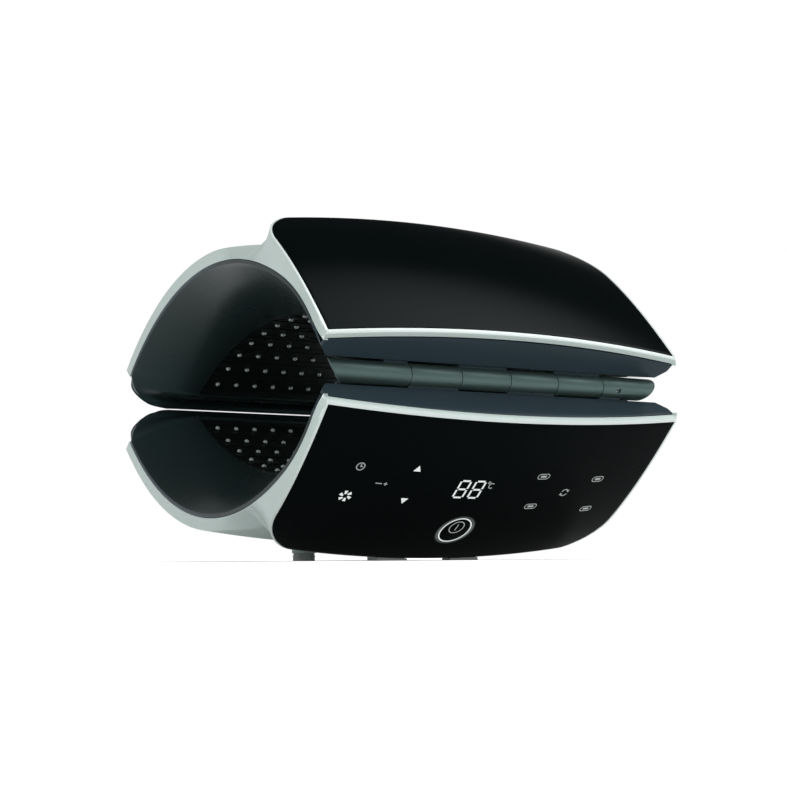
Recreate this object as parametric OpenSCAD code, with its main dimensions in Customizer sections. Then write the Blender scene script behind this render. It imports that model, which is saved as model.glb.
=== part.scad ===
// Folding light therapy lamp.
// Two mirrored half shells hinged along their front edge close round an eye-shaped tunnel
// that is open at both ends. Each half carries an arch of small lamps on a ribbed bed, an
// inner tray that flares like a bell to both open ends, an outer shell, a black cover panel
// and a cooling fan. The lower half also holds the touch controls, the display and the inlet.
//
// Working frame of the modules: X along the hinge, Y from the front edge to the rear, Z up
// from the parting plane. Every half piece is drawn as the upper one; base() mirrors it down.
// seat() moves the finished lamp so that its feet stand on Z = 0 with the origin below the
// middle of its outline.

/* [Cover panels] */
// Half length of a cover panel along its front edge
panel_front_half = 132; // [126:0.5:134]
// Half length of a cover panel along the ridge
panel_ridge_half = 128; // [122:0.5:130]
// Depth from the front edge to the top of the slope
slope_run = 84.8; // [80:0.2:90]
// Height of the panel's front edge above the parting plane
front_z = 21; // [20:0.5:24]
// Height of the top of the slope above the parting plane
slope_top_z = 97.3; // [92:0.1:104]
// Bow of the slope, in depth and in height, at its middle
slope_bow = [2.7, 9.3];
// Rounding of the ridge where the panel wraps over it
ridge_r = 7; // [6:0.5:9]
// Rounding of the panel's two ridge corners, along the hinge direction
corner_along = 38; // [20:1:44]
// Rounding of the panel's two ridge corners, up the slope
corner_up = 34; // [20:1:40]
// Thickness of a cover panel
panel_t = 2; // [1.6:0.1:2.4]

/* [Crown along the lamp] */
// Rise of the ridge and of the arch at mid length
crown_ridge = 9.1; // [4:0.1:14]
// Rise of the front edge at mid length
crown_front = 6.3; // [3:0.1:9]
// Swell of the front edge toward the user at mid length
crown_forward = 5.9; // [2:0.1:9]
// Rise of the shell's rear edge at mid length
crown_rear = 3; // [0:0.5:5]

/* [Arch and tunnel] */
// Depth of the arch's centre line
arch_y = 157; // [150:1:162]
// Radius of the outer arch
arch_r = 262; // [250:1:275]
// Height of the outer arch at the open ends
arch_top = 89.2; // [86:0.2:94]
// Depth of the shell's rear edge
rear_y = 325; // [320:0.5:330]
// Width of the silver rim round each open end
rim_w = 8; // [7:0.5:10]
// Radius of the rim toward the hinge
rim_tip_r = 122; // [115:1:130]
// Reach of the open ends beyond the panel, at the front edge
end_reach = 5.5; // [5:0.5:8]
// Loss of half length for each millimetre of depth
end_slope = 0.135; // [0.11:0.005:0.14]
// Rounding of the tray's corners at the parting plane
corner_r = 26; // [18:1:32]
// Gap from the parting plane to each lip
half_gap = 0.4; // [0.4:0.1:1.2]

/* [Walls] */
// Wall of the outer shells
wall = 2.6; // [2:0.1:3]
// Wall that closes the shell at each open end
end_wall = 3; // [2.4:0.1:4]
// Skin of the inner trays
tray_t = 2.3; // [2:0.1:2.6]
// Dark lip of the tray inside the silver rim
tray_lip = 2.7; // [2.6:0.1:3.4]
// Clearance between fitted covers
fit = 0.3; // [0.2:0.05:0.4]

/* [Lamp bed] */
// Depth of the bed's centre line
bed_y = 155.2; // [153:0.1:158]
// Radius of the bed's face
bed_r = 190; // [186:1:194]
// Height of the bed's face at its middle
bed_top = 51.5; // [49:0.5:53]
// Half length of the bed
bed_half = 60; // [57:0.5:64]
// Spacing of the lamps along the hinge direction
led_pitch = 15; // [13:0.5:16]
// Lamps in a row
led_cols = 8; // [4:1:8]
// Angle of the rearmost row of lamps
led_first_a = 35.6; // [34:0.1:36]
// Angle between rows of lamps
led_step_a = 5.3; // [5:0.05:5.3]
// Rows of lamps
led_rows = 14; // [8:1:14]
// Diameter of a lamp's lens
led_d = 3.2; // [3:0.1:5]
// Width of a lamp board
board_w = 9.6; // [8:0.2:10.5]
// Thickness of a lamp board
board_t = 1; // [0.8:0.1:1.2]
// Thickness of the ribbed bed under its seats
bed_t = 2.2; // [1.6:0.1:2.4]
// Height of the ribs between two boards
rib_h = 1.4; // [0.8:0.1:1.8]

/* [Hinge] */
// Depth of the hinge axis
hinge_y = 15.8; // [15:0.1:17]
// Radius of the hinge barrel
barrel_r = 7.2; // [6.5:0.1:7.5]
// Half length of the barrel at its axis
barrel_half = 118; // [118:0.5:122]
// Lean of the barrel's two ends, seen from the front
barrel_end_a = 27; // [0:1:35]
// Turn of the barrel's two ends toward the front
barrel_end_turn = 33; // [0:1:35]
// Place of the first knuckle joint
knuckle_first_x = -68; // [-72:1:-60]
// Spacing of the knuckle joints
knuckle_pitch = 37; // [34:0.5:38]
// Gap between neighbouring knuckles
knuckle_gap = 0.6; // [0.4:0.1:1]
// Radius of the hinge pin
pin_r = 2.5; // [2:0.1:3]
// Radial clearance of the running knuckles on the pin
pin_clearance = 0.06; // [0.03:0.01:0.1]
// Half length of the hinge pin
pin_half = 112; // [105:1:112]
// Height of the land over the barrel, from the parting plane
land_z = 8; // [7.8:0.1:8.6]
// Thickness of a hinge leaf
leaf_t = 2.4; // [2:0.1:2.6]

/* [Controls] */
// Diameter of the power key
key_d = 23; // [20:0.5:30]
// Place of the power key up the slope, as a share of the slope
key_t = 0.69; // [0.65:0.01:0.72]
// Length, height and thickness of the display module
display_size = [34, 21, 7];
// Middle of the display along the hinge direction
display_x = -10; // [-14:1:-6]
// Place of the display up the slope, as a share of the slope
display_t = 0.38; // [0.34:0.01:0.4]
// Length, width and thickness of the touch board
touch_size = [214, 76, 1.6];
// Depth of the touch board under the chord of the slope
touch_depth = 2; // [1:0.1:4]

/* [Cooling] */
// Side of a fan frame
fan_side = 60; // [50:1:60]
// Thickness of a fan frame
fan_t = 15; // [10:1:15]
// Depth of the fan's shaft
fan_y = 166; // [162:1:172]
// Height of the fan's outer face above the parting plane
fan_z = 89; // [87:0.5:89.5]
// Number of blades
fan_blades = 7; // [5:1:9]
// Width of a vent slot
vent_w = 2.4; // [1.6:0.2:3]
// Spacing of the vent slots
vent_pitch = 5; // [4:0.5:6]
// Number of vent slots
vent_count = 9; // [5:2:9]

/* [Boards and inlet] */
// Length, width and thickness of the main board
main_size = [140, 56, 1.6];
// Depth of the main board's middle
main_y = 96; // [94:1:98]
// Height of the main board's inner face
main_z = 63; // [62:0.5:66]
// Length, width and thickness of the lid's driver board
driver_size = [110, 44, 1.6];
// Bore of the power inlet
inlet_bore_d = 5.6; // [5:0.1:6.5]
// Pin of the power inlet
inlet_pin_d = 2.1; // [1.6:0.1:2.5]
// Outer diameter of the power inlet's barrel
inlet_d = 9; // [8:0.5:10]
// Depth of the power inlet's bore
inlet_depth = 10; // [8:0.5:11]

/* [Feet] */
// Height of the parting plane above the surface
stand_z = 108.4; // [108.2:0.1:112]
// Half spacing of the front feet
front_foot_x = 28; // [16:1:34]
// Half spacing of the rear feet
rear_foot_x = 30; // [20:1:60]
// Depth of the rear feet
rear_foot_y = 188; // [180:1:200]
// Diameter of a rear foot
rear_foot_d = 16; // [12:1:20]
// Height of a rear foot's pad
pad_h = 5; // [3:0.5:7]

/* [Hidden] */
$fn = 48;
small_fn = 16;

silver = "#c3cdca";
black = "#0a0c0d";
charcoal = "#2c3538";
rubber = "#1b1d1f";
steel = "#b9bec2";
board_green = "#16402c";

end_half_front = panel_front_half + end_reach;
arch_cz = arch_top - arch_r;
rim_r = arch_r - rim_w;
bed_cz = bed_top - bed_r;
ridge_h0 = 27;
ridge_panel_h = -10;
ridge_back_h = -48;
notch_r = 14;
seat_d = panel_t + 0.2;
strip_w = 1.6;
step_w = 0.15;

function lerp(a, b, t) = a + (b - a) * t;
function end_half(y) = end_half_front - end_slope * y;
function corner_inset(z) = z < corner_r
    ? corner_r - sqrt(corner_r * corner_r - pow(corner_r - max(z, half_gap) + half_gap, 2)) : 0;
function heading(a, b) = atan2(b[1] - a[1], b[0] - a[0]);

// ---- Slope, ridge and arch: the outer profile at an open end ----

function slope_pt(t) = [slope_run * t + slope_bow[0] * 4 * t * (1 - t),
    front_z + (slope_top_z - front_z) * t + slope_bow[1] * 4 * t * (1 - t)];
function ridge_pt(h) = slope_pt(1) + ridge_r * [sin(ridge_h0) - sin(h), cos(h) - cos(ridge_h0)];
function arch_pt(a, r = arch_r) = [arch_y + r * sin(a), arch_cz + r * cos(a)];

// The concave notch is tangent to the ridge's back face and to the arch.
ridge_back = ridge_pt(ridge_back_h);
notch_w = ridge_back + notch_r * [-sin(ridge_back_h), cos(ridge_back_h)] - [arch_y, arch_cz];
notch_d = notch_w * [cos(ridge_back_h), sin(ridge_back_h)];
notch_s = -notch_d - sqrt(notch_d * notch_d - notch_w * notch_w + pow(arch_r + notch_r, 2));
notch_s2 = -notch_d + sqrt(notch_d * notch_d - notch_w * notch_w + pow(arch_r + notch_r, 2));
notch_run = notch_s > 0 ? notch_s : notch_s2;
notch_c = notch_w + notch_run * [cos(ridge_back_h), sin(ridge_back_h)];
notch_a = atan2(notch_c[0], notch_c[1]);
function notch_pt(h) = notch_c + [arch_y, arch_cz] + notch_r * [sin(h), -cos(h)];

rear_a = asin((rear_y - arch_y) / arch_r);
panel_far_y = ridge_pt(ridge_panel_h)[0];

// ---- Lofting tools ----

// A loft runs through rings of equal length. Each ring is a visible side followed by a hidden
// side, both listed from left to right, so that its two end caps are strips between them.
module loft(rings) {
    n = len(rings);
    m = len(rings[0][0]);
    pts = [for (r = rings, p = concat(r[0], r[1])) p];
    vis = function(j, k) j * 2 * m + k;
    hid = function(j, k) j * 2 * m + m + k;
    quad = function(a, b, c, d) [[a, c, b], [a, d, c]];
    faces = concat(
        [for (j = [0:n - 2], k = [0:m - 2], f = quad(vis(j, k), vis(j, k + 1),
            vis(j + 1, k + 1), vis(j + 1, k))) f],
        [for (j = [0:n - 2], k = [0:m - 2], f = quad(hid(j, k), hid(j + 1, k),
            hid(j + 1, k + 1), hid(j, k + 1))) f],
        [for (j = [0:n - 2], f = quad(vis(j, 0), vis(j + 1, 0), hid(j + 1, 0), hid(j, 0))) f],
        [for (j = [0:n - 2], f = quad(vis(j, m - 1), hid(j, m - 1), hid(j + 1, m - 1),
            vis(j + 1, m - 1))) f],
        [for (k = [0:m - 2], f = quad(vis(0, k), hid(0, k), hid(0, k + 1), vis(0, k + 1))) f],
        [for (k = [0:m - 2], f = quad(vis(n - 1, k), vis(n - 1, k + 1), hid(n - 1, k + 1),
            hid(n - 1, k))) f]);
    polyhedron(points = pts, faces = faces, convexity = 10);
}

// Mirrors a list of [x, ...] points given from the left end to the middle, middle included.
function both_sides(left) = concat(left,
    [for (i = [len(left) - 2:-1:0]) [-left[i][0], left[i][1], left[i][2]]]);

// Moves a profile point inward by d, square to the line through its two neighbours.
function inward(path, i, d) =
    let (a = path[max(i - 1, 0)], b = path[min(i + 1, len(path) - 1)], h = heading(a, b))
    path[i] + d * [sin(h), -cos(h)];

function path_length(path, i) = i < 1 ? 0
    : norm(path[i] - path[i - 1]) + path_length(path, i - 1);

// Half length of the outer surface at depth y, with the ridge corners left square.
shoulder_y = arch_y - 30;
function square_half(y) = y < slope_run
    ? lerp(panel_front_half, panel_ridge_half, max(0, y) / slope_run) + strip_w
    : y < shoulder_y ? lerp(panel_ridge_half + strip_w, end_half(shoulder_y),
        (y - slope_run) / (shoulder_y - slope_run)) : end_half(y);

// Places a profile point at x, with the crown of its depth.
function crowned(p, x) = let (u = min(1, abs(x) / square_half(p[0])), k = 1 - u * u,
    s = max(0, min(1, p[0] / slope_run)),
    r = max(0, (p[0] - panel_far_y) / (rear_y - panel_far_y)))
    [x, p[0] - crown_forward * (1 - s) * k,
     p[1] + k * (p[0] < panel_far_y ? lerp(crown_front, crown_ridge, s)
                                    : lerp(crown_ridge, crown_rear, r * r))];

// ---- Rim of an open end ----

tip_a = 24.9;
function rim_at(y, inset = 0) = let (a = asin(min(1, (arch_y - y) / rim_r)))
    a < tip_a ? arch_pt(-a, rim_r - inset)
    : let (c = arch_pt(-tip_a, rim_r - rim_tip_r),
           b = asin((c[0] - y) / rim_tip_r))
      c + (rim_tip_r - inset) * [-sin(b), cos(b)];
function rim_half(p) = end_half(p[0]) - corner_inset(p[1]);

// ---- Cover panel ----

slope_steps = [0, 0.1, 0.25, 0.4, 0.55, 0.7, 0.82, 0.92, 1];
panel_path = concat([for (t = slope_steps) slope_pt(t)],
    [for (h = [14, 2, ridge_panel_h]) ridge_pt(h)]);
panel_len = path_length(panel_path, len(panel_path) - 1);
function corner_loss(d) = d < corner_up
    ? corner_along * (1 - sqrt(1 - pow((corner_up - d) / corner_up, 2))) : 0;
function panel_half(i, inset = 0, shift = 0) = square_half(panel_path[i][0]) - strip_w - inset
    - corner_loss(max(0, panel_len - path_length(panel_path, i) - shift) + 0.2);

x_shares = [1, 0.86, 0.66, 0.44, 0.22, 0];

module cover_panel() {
    start = slope_pt(fit / norm(slope_pt(1) - slope_pt(0)));
    loft([for (i = [0:len(panel_path) - 1])
        let (half = panel_half(i, fit), shift = i == 0 ? start - panel_path[0] : [0, 0],
             p = panel_path[i] + shift, q = inward(panel_path, i, panel_t) + shift)
        [both_sides([for (u = x_shares) crowned(p, -u * half)]),
         both_sides([for (u = x_shares) crowned(q, -u * half)])]]);
}

// ---- Outer shell ----

// A row is [outer point, inner point, outer half length, seat half length, seat point, rim
// depth, half length of the inner side]. The inner side's ridge corners are cut back further,
// so that the wall under the slanted corner of the end face stays whole.
corner_wall = 13;
trim_inner = [[2.4, 17.2], [2.6, 17.7], [3, 18.4]];
trim_outer = [[1.1, 16.2], [-0.7, 18.5], [-0.05, 20.9]];
panel_rows = [for (i = [0:len(panel_path) - 1])
    let (p = panel_path[i])
    [p, i == 0 ? [3.6, 19.2] : inward(panel_path, i, seat_d + wall), panel_half(i) + strip_w,
     panel_half(i), inward(panel_path, i, seat_d), lerp(4.7, 99, p[0] / panel_far_y),
     panel_half(i, 0, corner_wall) + strip_w]];
back_path = concat([for (h = [ridge_panel_h - 2, -28, ridge_back_h]) ridge_pt(h)],
    [for (f = [0, 0.25, 0.5, 0.75]) notch_pt(lerp(ridge_back_h, -notch_a, f))],
    [for (f = [0:1 / 12:1.001]) arch_pt(lerp(notch_a, rear_a, f))]);
corner_share = [1, 0.8, 0.5, 0.3, 0.12, 0.04, 0, 0, 0];
inner_share = [1.03, 1.03, 0.93, 0.76, 0.55, 0.35, 0.2, 0.1, 0.04];
back_rows = [for (i = [0:len(back_path) - 1])
    let (p = back_path[i], loss = corner_loss(0.2), full = square_half(p[0]),
         half = full - loss * (i < len(corner_share) ? corner_share[i] : 0),
         inner = full - loss * (i < len(inner_share) ? inner_share[i] : 0))
    [p, inward(back_path, i, i == 0 ? seat_d + wall : i == 1 ? wall + 1.2 : wall), half,
     half - strip_w, p, p[0] < panel_far_y + 30
        ? lerp(99.5, panel_far_y + 30, (p[0] - panel_far_y) / 30) : p[0], inner]];
shell_rows = concat(
    [for (i = [0:2]) [trim_outer[i], trim_inner[i], panel_front_half + strip_w - 0.2 * i,
        panel_front_half - 0.2 * i, trim_outer[i], 3 + 0.5 * i,
        panel_front_half + strip_w - 0.2 * i]],
    panel_rows, back_rows);

module shell_skin() {
    loft([for (j = [0:len(shell_rows) - 1])
        let (row = shell_rows[j], p = row[0], q = row[1], half = row[2], sh = row[3],
             seat = row[4], ih = row[6] - end_wall, r = rim_at(min(row[5], 318.6)),
             rh = rim_half(r), sx = sh - step_w)
        [both_sides(concat([[-rh, r[0], r[1]]], [crowned(p, -half)], [crowned(p, -sh)],
            [for (u = x_shares) crowned(seat, -u * sx)])),
         both_sides(concat([[end_wall - rh, r[0], r[1]]], [crowned(q, -ih)],
            [crowned(q, strip_w - ih)],
            [for (u = x_shares) crowned(q, u * (strip_w + step_w - ih))]))]]);
}
// ---- Inner tray ----

// The visible side runs down the front face, along the land over the barrel, round the tunnel,
// along the rear land and lip, and up the rear face. Each row gives the visible and the hidden
// point at the open end, the same two at the bed, the bed's own recessed pair, and whether the
// row follows the crown (front and rear faces) or flares like a bell (tunnel).
bed_edge_a = acos((land_z - bed_cz) / bed_r);
bed_seat_r = bed_r + bed_t + rib_h + fit;
function bed_pt(a, r) = [bed_y + r * sin(a), bed_cz + r * cos(a)];
rear_land_z = 6;
lip_y = 305;
lip_w = 3.4;
rear_top = arch_pt(rear_a, arch_r - wall - fit) - [0.9, 0.4];

function front_row(end, end_in, mid, mid_in) = [end, end_in, mid, mid_in, mid, mid_in, true];
function rear_row(p, q, flare) = [p, q, p + [0, flare], q + [0, flare], p + [0, flare],
    q + [0, flare], true];
tray_front = [
    front_row([1.4, 15.8], [2.9, 17], [-2.2, 22.2], [-0.6, 23.4]),
    front_row([6.4, 12], [7.4, 13.9], [4.7, 15.1], [6.1, 16.6]),
    front_row([11.6, land_z], [10.6, 11.2], [11.6, land_z], [12.6, land_z + tray_t]),
    [[13.2, land_z + 0.3], [11.3, 11], [31, land_z], [31, land_z + tray_t],
        [31, land_z], [31, land_z + tray_t], false],
    [[13.6, 10.6], [11.6, 11.4], bed_pt(-bed_edge_a, bed_r) - [0.6, 0],
        bed_pt(-bed_edge_a, bed_r) + [-2.6, tray_t], bed_pt(-bed_edge_a, bed_r) - [0.6, 0],
        bed_pt(-bed_edge_a, bed_r) + [-2.6, tray_t], false],
    [[11.2, 15.6], [9.2, 14.6], bed_pt(-bed_edge_a, bed_r),
        bed_pt(-bed_edge_a, bed_r) + [-2.2, tray_t + 0.6], bed_pt(-bed_edge_a, bed_r) - [0.3, -0.3],
        bed_pt(-bed_edge_a, bed_r) + [-2.2, tray_t + 0.6], false]];
arc_count = 22;
bed_a0 = bed_edge_a - 0.5;
bed_a1 = bed_edge_a - 0.5;
tray_arc = [for (i = [0:arc_count])
    let (f = i / arc_count, a = lerp(-bed_a0, bed_a1, f), y = lerp(7.2, rear_top[0] - 6.5, f))
    [rim_at(y, tray_lip), rim_at(y, tray_lip - tray_t), bed_pt(a, bed_r),
     bed_pt(a, bed_seat_r + tray_t), bed_pt(a, bed_seat_r), bed_pt(a, bed_seat_r + tray_t), false]];
rear_edge = bed_pt(bed_edge_a, bed_r);
tray_rear = [
    [[314.6, 17], [316.8, 18], rear_edge + [2, -1.2], rear_edge + [2.6, 1.6],
        rear_edge + [2, -1.2], rear_edge + [2.6, 1.6], false],
    [[314.2, 12], [316.6, 12.6], [lip_y - 6, rear_land_z], [lip_y - 5, rear_land_z + tray_t],
        [lip_y - 6, rear_land_z], [lip_y - 5, rear_land_z + tray_t], false],
    [[311.6, 6.4], [313.6, 8.4], [lip_y - 1.2, rear_land_z - 1.2], [lip_y + 1, rear_land_z + 1.6],
        [lip_y - 1.2, rear_land_z - 1.2], [lip_y + 1, rear_land_z + 1.6], false],
    [[306.4, 1.6], [308.2, 4.8], [lip_y, half_gap + 0.4], [lip_y + 1.8, 5.6],
        [lip_y, half_gap + 0.4], [lip_y + 1.8, 5.6], false],
    rear_row([lip_y + 1, half_gap], [lip_y + 3.8, 4.4], 0),
    rear_row([lip_y + lip_w, half_gap], [lip_y + 4.9, 4.4], 0),
    rear_row([313.4, 3.2], [312.6, 6.2], 0.2),
    rear_row([318.2, 9.2], [316.6, 10.6], 0.8),
    rear_row([320.6, 16], [318.4, 16.8], 1.8),
    rear_row(rear_top, rear_top - [tray_t, -0.6], crown_rear)];
tray_rows = concat(tray_front, tray_arc, tray_rear);

// Stations along a half of the tray, as shares of the way from the open end to the bed.
flare_steps = [0, 0.12, 0.28, 0.48, 0.72, 1];
bed_recess_half = bed_half + fit;
function tray_pt(end, bed, row, f) =
    let (half = row[6] && row[0][1] > 12
            ? rim_half(row[0]) - (row[0][0] < 20 ? 2.4 : row[0][0] > 321 ? 3.4 : 0)
            : rim_half(row[0]),
         x = lerp(half, bed_recess_half + 0.8, f),
         w = row[6] ? pow(x / half, 2) : pow(1 - f, 2), p = lerp(bed, end, w))
    [-x, p[0], p[1]];
module tray_skin() {
    loft([for (j = [len(tray_rows) - 1:-1:0])
        let (row = tray_rows[j], w = row[6] ? pow(bed_recess_half / rim_half(row[0]), 2) : 0,
             s = row[6] ? lerp(row[2], row[0], w) : row[4],
             t = row[6] ? lerp(row[3], row[1], w) : row[5])
        [both_sides(concat([for (f = flare_steps) tray_pt(row[0], row[2], row, f)],
            [[-bed_recess_half, s[0], s[1]]],
            [[0, row[4][0], row[4][1]]])),
         both_sides(concat([for (f = flare_steps) tray_pt(row[1], row[3], row, f)],
            [[-bed_recess_half, t[0], t[1]]],
            [[0, row[5][0], row[5][1]]]))]]);
}

// ---- Placing parts inside a half ----

// Height and slope of the crowned outer surface over a place inside a half.
function skin_path(x) = [for (p = concat(panel_path, back_path)) let (c = crowned(p, x))
    [c[1], c[2]]];
function skin_z(x, y) = lookup(y, skin_path(x));
function skin_a(x, y) = atan2(skin_z(x, y + 1) - skin_z(x, y - 1), 2);

// A post from height z0 up into the shell's wall, its top cut parallel to the wall.
module post(x, y, z0, r = boss_r) {
    depth = (y < panel_far_y ? seat_d : 0) + wall / 2;
    difference() {
        translate([x, y, z0]) cylinder(h = skin_z(x, y) - z0, r = r);
        translate([x, y, skin_z(x, y)]) rotate([skin_a(x, y), 0, 0])
            translate([-2 * r, -5 * r, -depth]) cube([4 * r, 10 * r, 60]);
    }
}

// A frame whose Z axis runs outward from the bed's centre line at angle a.
module at_bed(x, a) translate([x, bed_y, bed_cz]) rotate([-a, 0, 0]) children();

// A frame on the chord of the slope: Y runs up the slope and Z outward.
chord_a = heading(slope_pt(0), slope_pt(1));
chord_len = norm(slope_pt(1) - slope_pt(0));
module at_chord() translate([0, slope_pt(0)[0], slope_pt(0)[1]]) rotate([chord_a, 0, 0]) children();

// A frame on the crowned slope itself.
function slope_at(x, t) = crowned(slope_pt(t), x);
function slope_a(x, t) = let (a = slope_at(x, t - 0.05), b = slope_at(x, t + 0.05))
    atan2(b[2] - a[2], b[1] - a[1]);
module at_slope(x, t) translate(slope_at(x, t)) rotate([slope_a(x, t), 0, 0]) children();
function chord_place(x, t) = let (p = slope_at(x, t), d = [p[1], p[2]] - slope_pt(0))
    [d * [cos(chord_a), sin(chord_a)], d * [-sin(chord_a), cos(chord_a)]];

// ---- Screws ----

screw_r = 1.5;
thread_play = 0.1;
boss_r = 3.2;
pan_head = [2.8, 1.8];
sunk_head = [2.8, 1.5];
module drive(r, depth) for (a = [0, 90]) rotate(a)
    translate([-r, -0.35, -1]) cube([2 * r, 0.7, depth + 1]);
// Screws point along +Z with the underside of a pan head, or the top of a sunk head, at Z = 0.
module pan_screw(len, r = screw_r) difference() {
    union() {
        cylinder(h = len, r = r);
        translate([0, 0, -pan_head[1]]) cylinder(h = pan_head[1], r = pan_head[0] * r / screw_r);
    }
    translate([0, 0, -pan_head[1]]) drive(1.5, 0.9);
}
module sunk_screw(len) difference() {
    union() {
        cylinder(h = sunk_head[1], r1 = sunk_head[0], r2 = screw_r);
        cylinder(h = len, r = screw_r);
    }
    drive(1.5, 0.8);
}

tray_screw_x = 48;
tray_screw_y = [133, 245];
function bed_angle(y) = asin((y - bed_y) / bed_seat_r);
// Distance from the bed's centre line to mid wall of the arch, along angle a at x.
function wall_run(x, a) =
    let (c = [arch_y, arch_cz + crowned([bed_y + 235 * sin(a), 0], x)[2]],
         w = [bed_y, bed_cz] - c, b = w * [sin(a), cos(a)])
    sqrt(b * b - w * w + pow(arch_r - wall / 2, 2)) - b;
module at_tray_screws() for (x = [-tray_screw_x, tray_screw_x], y = tray_screw_y)
    at_bed(x, bed_angle(y)) children();
module tray_screws() at_tray_screws() translate([0, 0, bed_seat_r + 0.15]) sunk_screw(11);

leaf_screw_x = [-54, -18, 18, 54];
leaf_screw_y = 27;
leaf_boss_h = 7;
module at_leaf_screws() for (x = leaf_screw_x) translate([x, leaf_screw_y, 0]) children();
module leaf_screws() at_leaf_screws() translate([0, 0, land_z - leaf_t]) pan_screw(10);

// ---- Tray ----

module tray() difference() {
    $fn = small_fn;
    union() {
        tray_skin();
        at_leaf_screws() translate([0, 0, land_z + tray_t / 2])
            cylinder(h = leaf_boss_h + tray_t / 2, r = boss_r);
    }
    at_leaf_screws() translate([0, 0, land_z - 1])
        cylinder(h = 20, r = screw_r + thread_play);
    at_tray_screws() translate([0, 0, bed_seat_r - 1]) {
        cylinder(h = 6, r = screw_r + thread_play);
        cylinder(h = 1.15 + sunk_head[1] + fit / 2,
            r1 = sunk_head[0] + fit + 1, r2 = screw_r + thread_play);
    }
}

// ---- Lamp bed ----

seat_half = board_w / 2 + fit;
rib_w = 1.6;
seat_r = bed_r + rib_h;
groove_r = bed_r + rib_h / 2;
bed_end_a = bed_a0 - 0.1;
function at_row(i, u, r) = let (a = led_first_a - led_step_a * i)
    [bed_y + r * sin(a) + u * cos(a), bed_cz + r * cos(a) - u * sin(a)];
module led_bed() {
    under = [for (a = [-bed_end_a:bed_end_a / 22:bed_end_a + 0.01]) bed_pt(a, seat_r + bed_t)];
    rows = [for (i = [0:led_rows - 1])
        for (k = [[seat_half + rib_w, groove_r], [seat_half + rib_w, bed_r], [seat_half, bed_r],
            [seat_half, seat_r], [-seat_half, seat_r], [-seat_half, bed_r],
            [-seat_half - rib_w, bed_r], [-seat_half - rib_w, groove_r]]) at_row(i, k[0], k[1])];
    rotate([90, 0, 90]) translate([0, 0, -bed_half]) linear_extrude(2 * bed_half)
        polygon(concat([bed_pt(bed_end_a, bed_r)], rows, [bed_pt(-bed_end_a, bed_r)], under));
}
module at_rows() for (i = [0:led_rows - 1]) at_bed(0, led_first_a - led_step_a * i) children();
module led_boards() at_rows() translate([-bed_half, -board_w / 2, seat_r - board_t])
    cube([2 * bed_half, board_w, board_t]);
module led() rotate([180, 0, 0]) {
    cylinder(h = 0.8, r = led_d / 2 + 0.4);
    translate([0, 0, 0.8]) rotate_extrude() intersection() {
        circle(led_d / 2);
        square(led_d);
    }
}
module leds() at_rows() for (k = [0:led_cols - 1])
    translate([(k - (led_cols - 1) / 2) * led_pitch, 0, seat_r - board_t]) led();

// ---- Shell ----

fan_hole = fan_side / 2 - 5;
module at_fan_corners() for (x = [-fan_hole, fan_hole], y = [-fan_hole, fan_hole])
    translate([x, fan_y + y, 0]) children();
fan_screw_r = 1.9;
module vent_slots() for (k = [0:vent_count - 1])
    translate([(k - (vent_count - 1) / 2) * vent_pitch, fan_y, 70]) linear_extrude(40) {
        square([vent_w, 40], center = true);
        for (y = [-20, 20]) translate([0, y]) circle(vent_w / 2);
    }
module shell(board_posts, board_top) difference() {
    $fn = small_fn;
    union() {
        shell_skin();
        for (x = [-fan_hole, fan_hole], y = [-fan_hole, fan_hole])
            post(x, fan_y + y, fan_z, boss_r + 0.6);
        for (p = board_posts) post(p[0], p[1], board_top);
        for (x = [-tray_screw_x, tray_screw_x], y = tray_screw_y)
            let (a = bed_angle(y), r = bed_seat_r + tray_t + 0.1)
            at_bed(x, a) translate([0, 0, r]) cylinder(h = wall_run(x, a) - r, r = boss_r);
    }
    vent_slots();
    at_fan_corners() translate([0, 0, fan_z - 1]) cylinder(h = 5, r = fan_screw_r + thread_play);
    at_tray_screws() translate([0, 0, bed_seat_r])
        cylinder(h = 14, r = screw_r + thread_play);
    for (p = board_posts) translate([p[0], p[1], board_top - 1])
        cylinder(h = 8, r = screw_r + thread_play);
}

// ---- Fan ----

fan_bore_r = fan_side / 2 - 1.6;
hub_r = 11;
hub_h = 6;
shaft_r = 1.5;
module at_fan() translate([0, fan_y, fan_z - fan_t]) children();
module fan_frame() at_fan() {
    difference() {
        union() {
            difference() {
                linear_extrude(fan_t) difference() {
                    square(fan_side, center = true);
                    circle(fan_bore_r);
                }
                for (k = [0:3]) rotate(90 * k) translate([0, 0, 4]) difference() {
                    translate([fan_side / 2 - 9, fan_side / 2 - 9, 0]) cube([20, 20, fan_t - 8]);
                    cylinder(h = fan_t, r = fan_bore_r + 1.4);
                }
            }
            cylinder(h = hub_h, r = hub_r - 2);
            cylinder(h = 1.6, r = hub_r);
            for (k = [0:3]) rotate(90 * k + 30) translate([0, -1.5, 0])
                cube([fan_bore_r + 0.8, 3, 1.6]);
        }
        translate([0, 0, 1]) cylinder(h = fan_t, r = shaft_r + pin_clearance);
        for (k = [0:3]) rotate(90 * k) translate([fan_hole, fan_hole, -1])
            cylinder(h = fan_t + 2, r = fan_screw_r + 0.3);
    }
}
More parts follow.
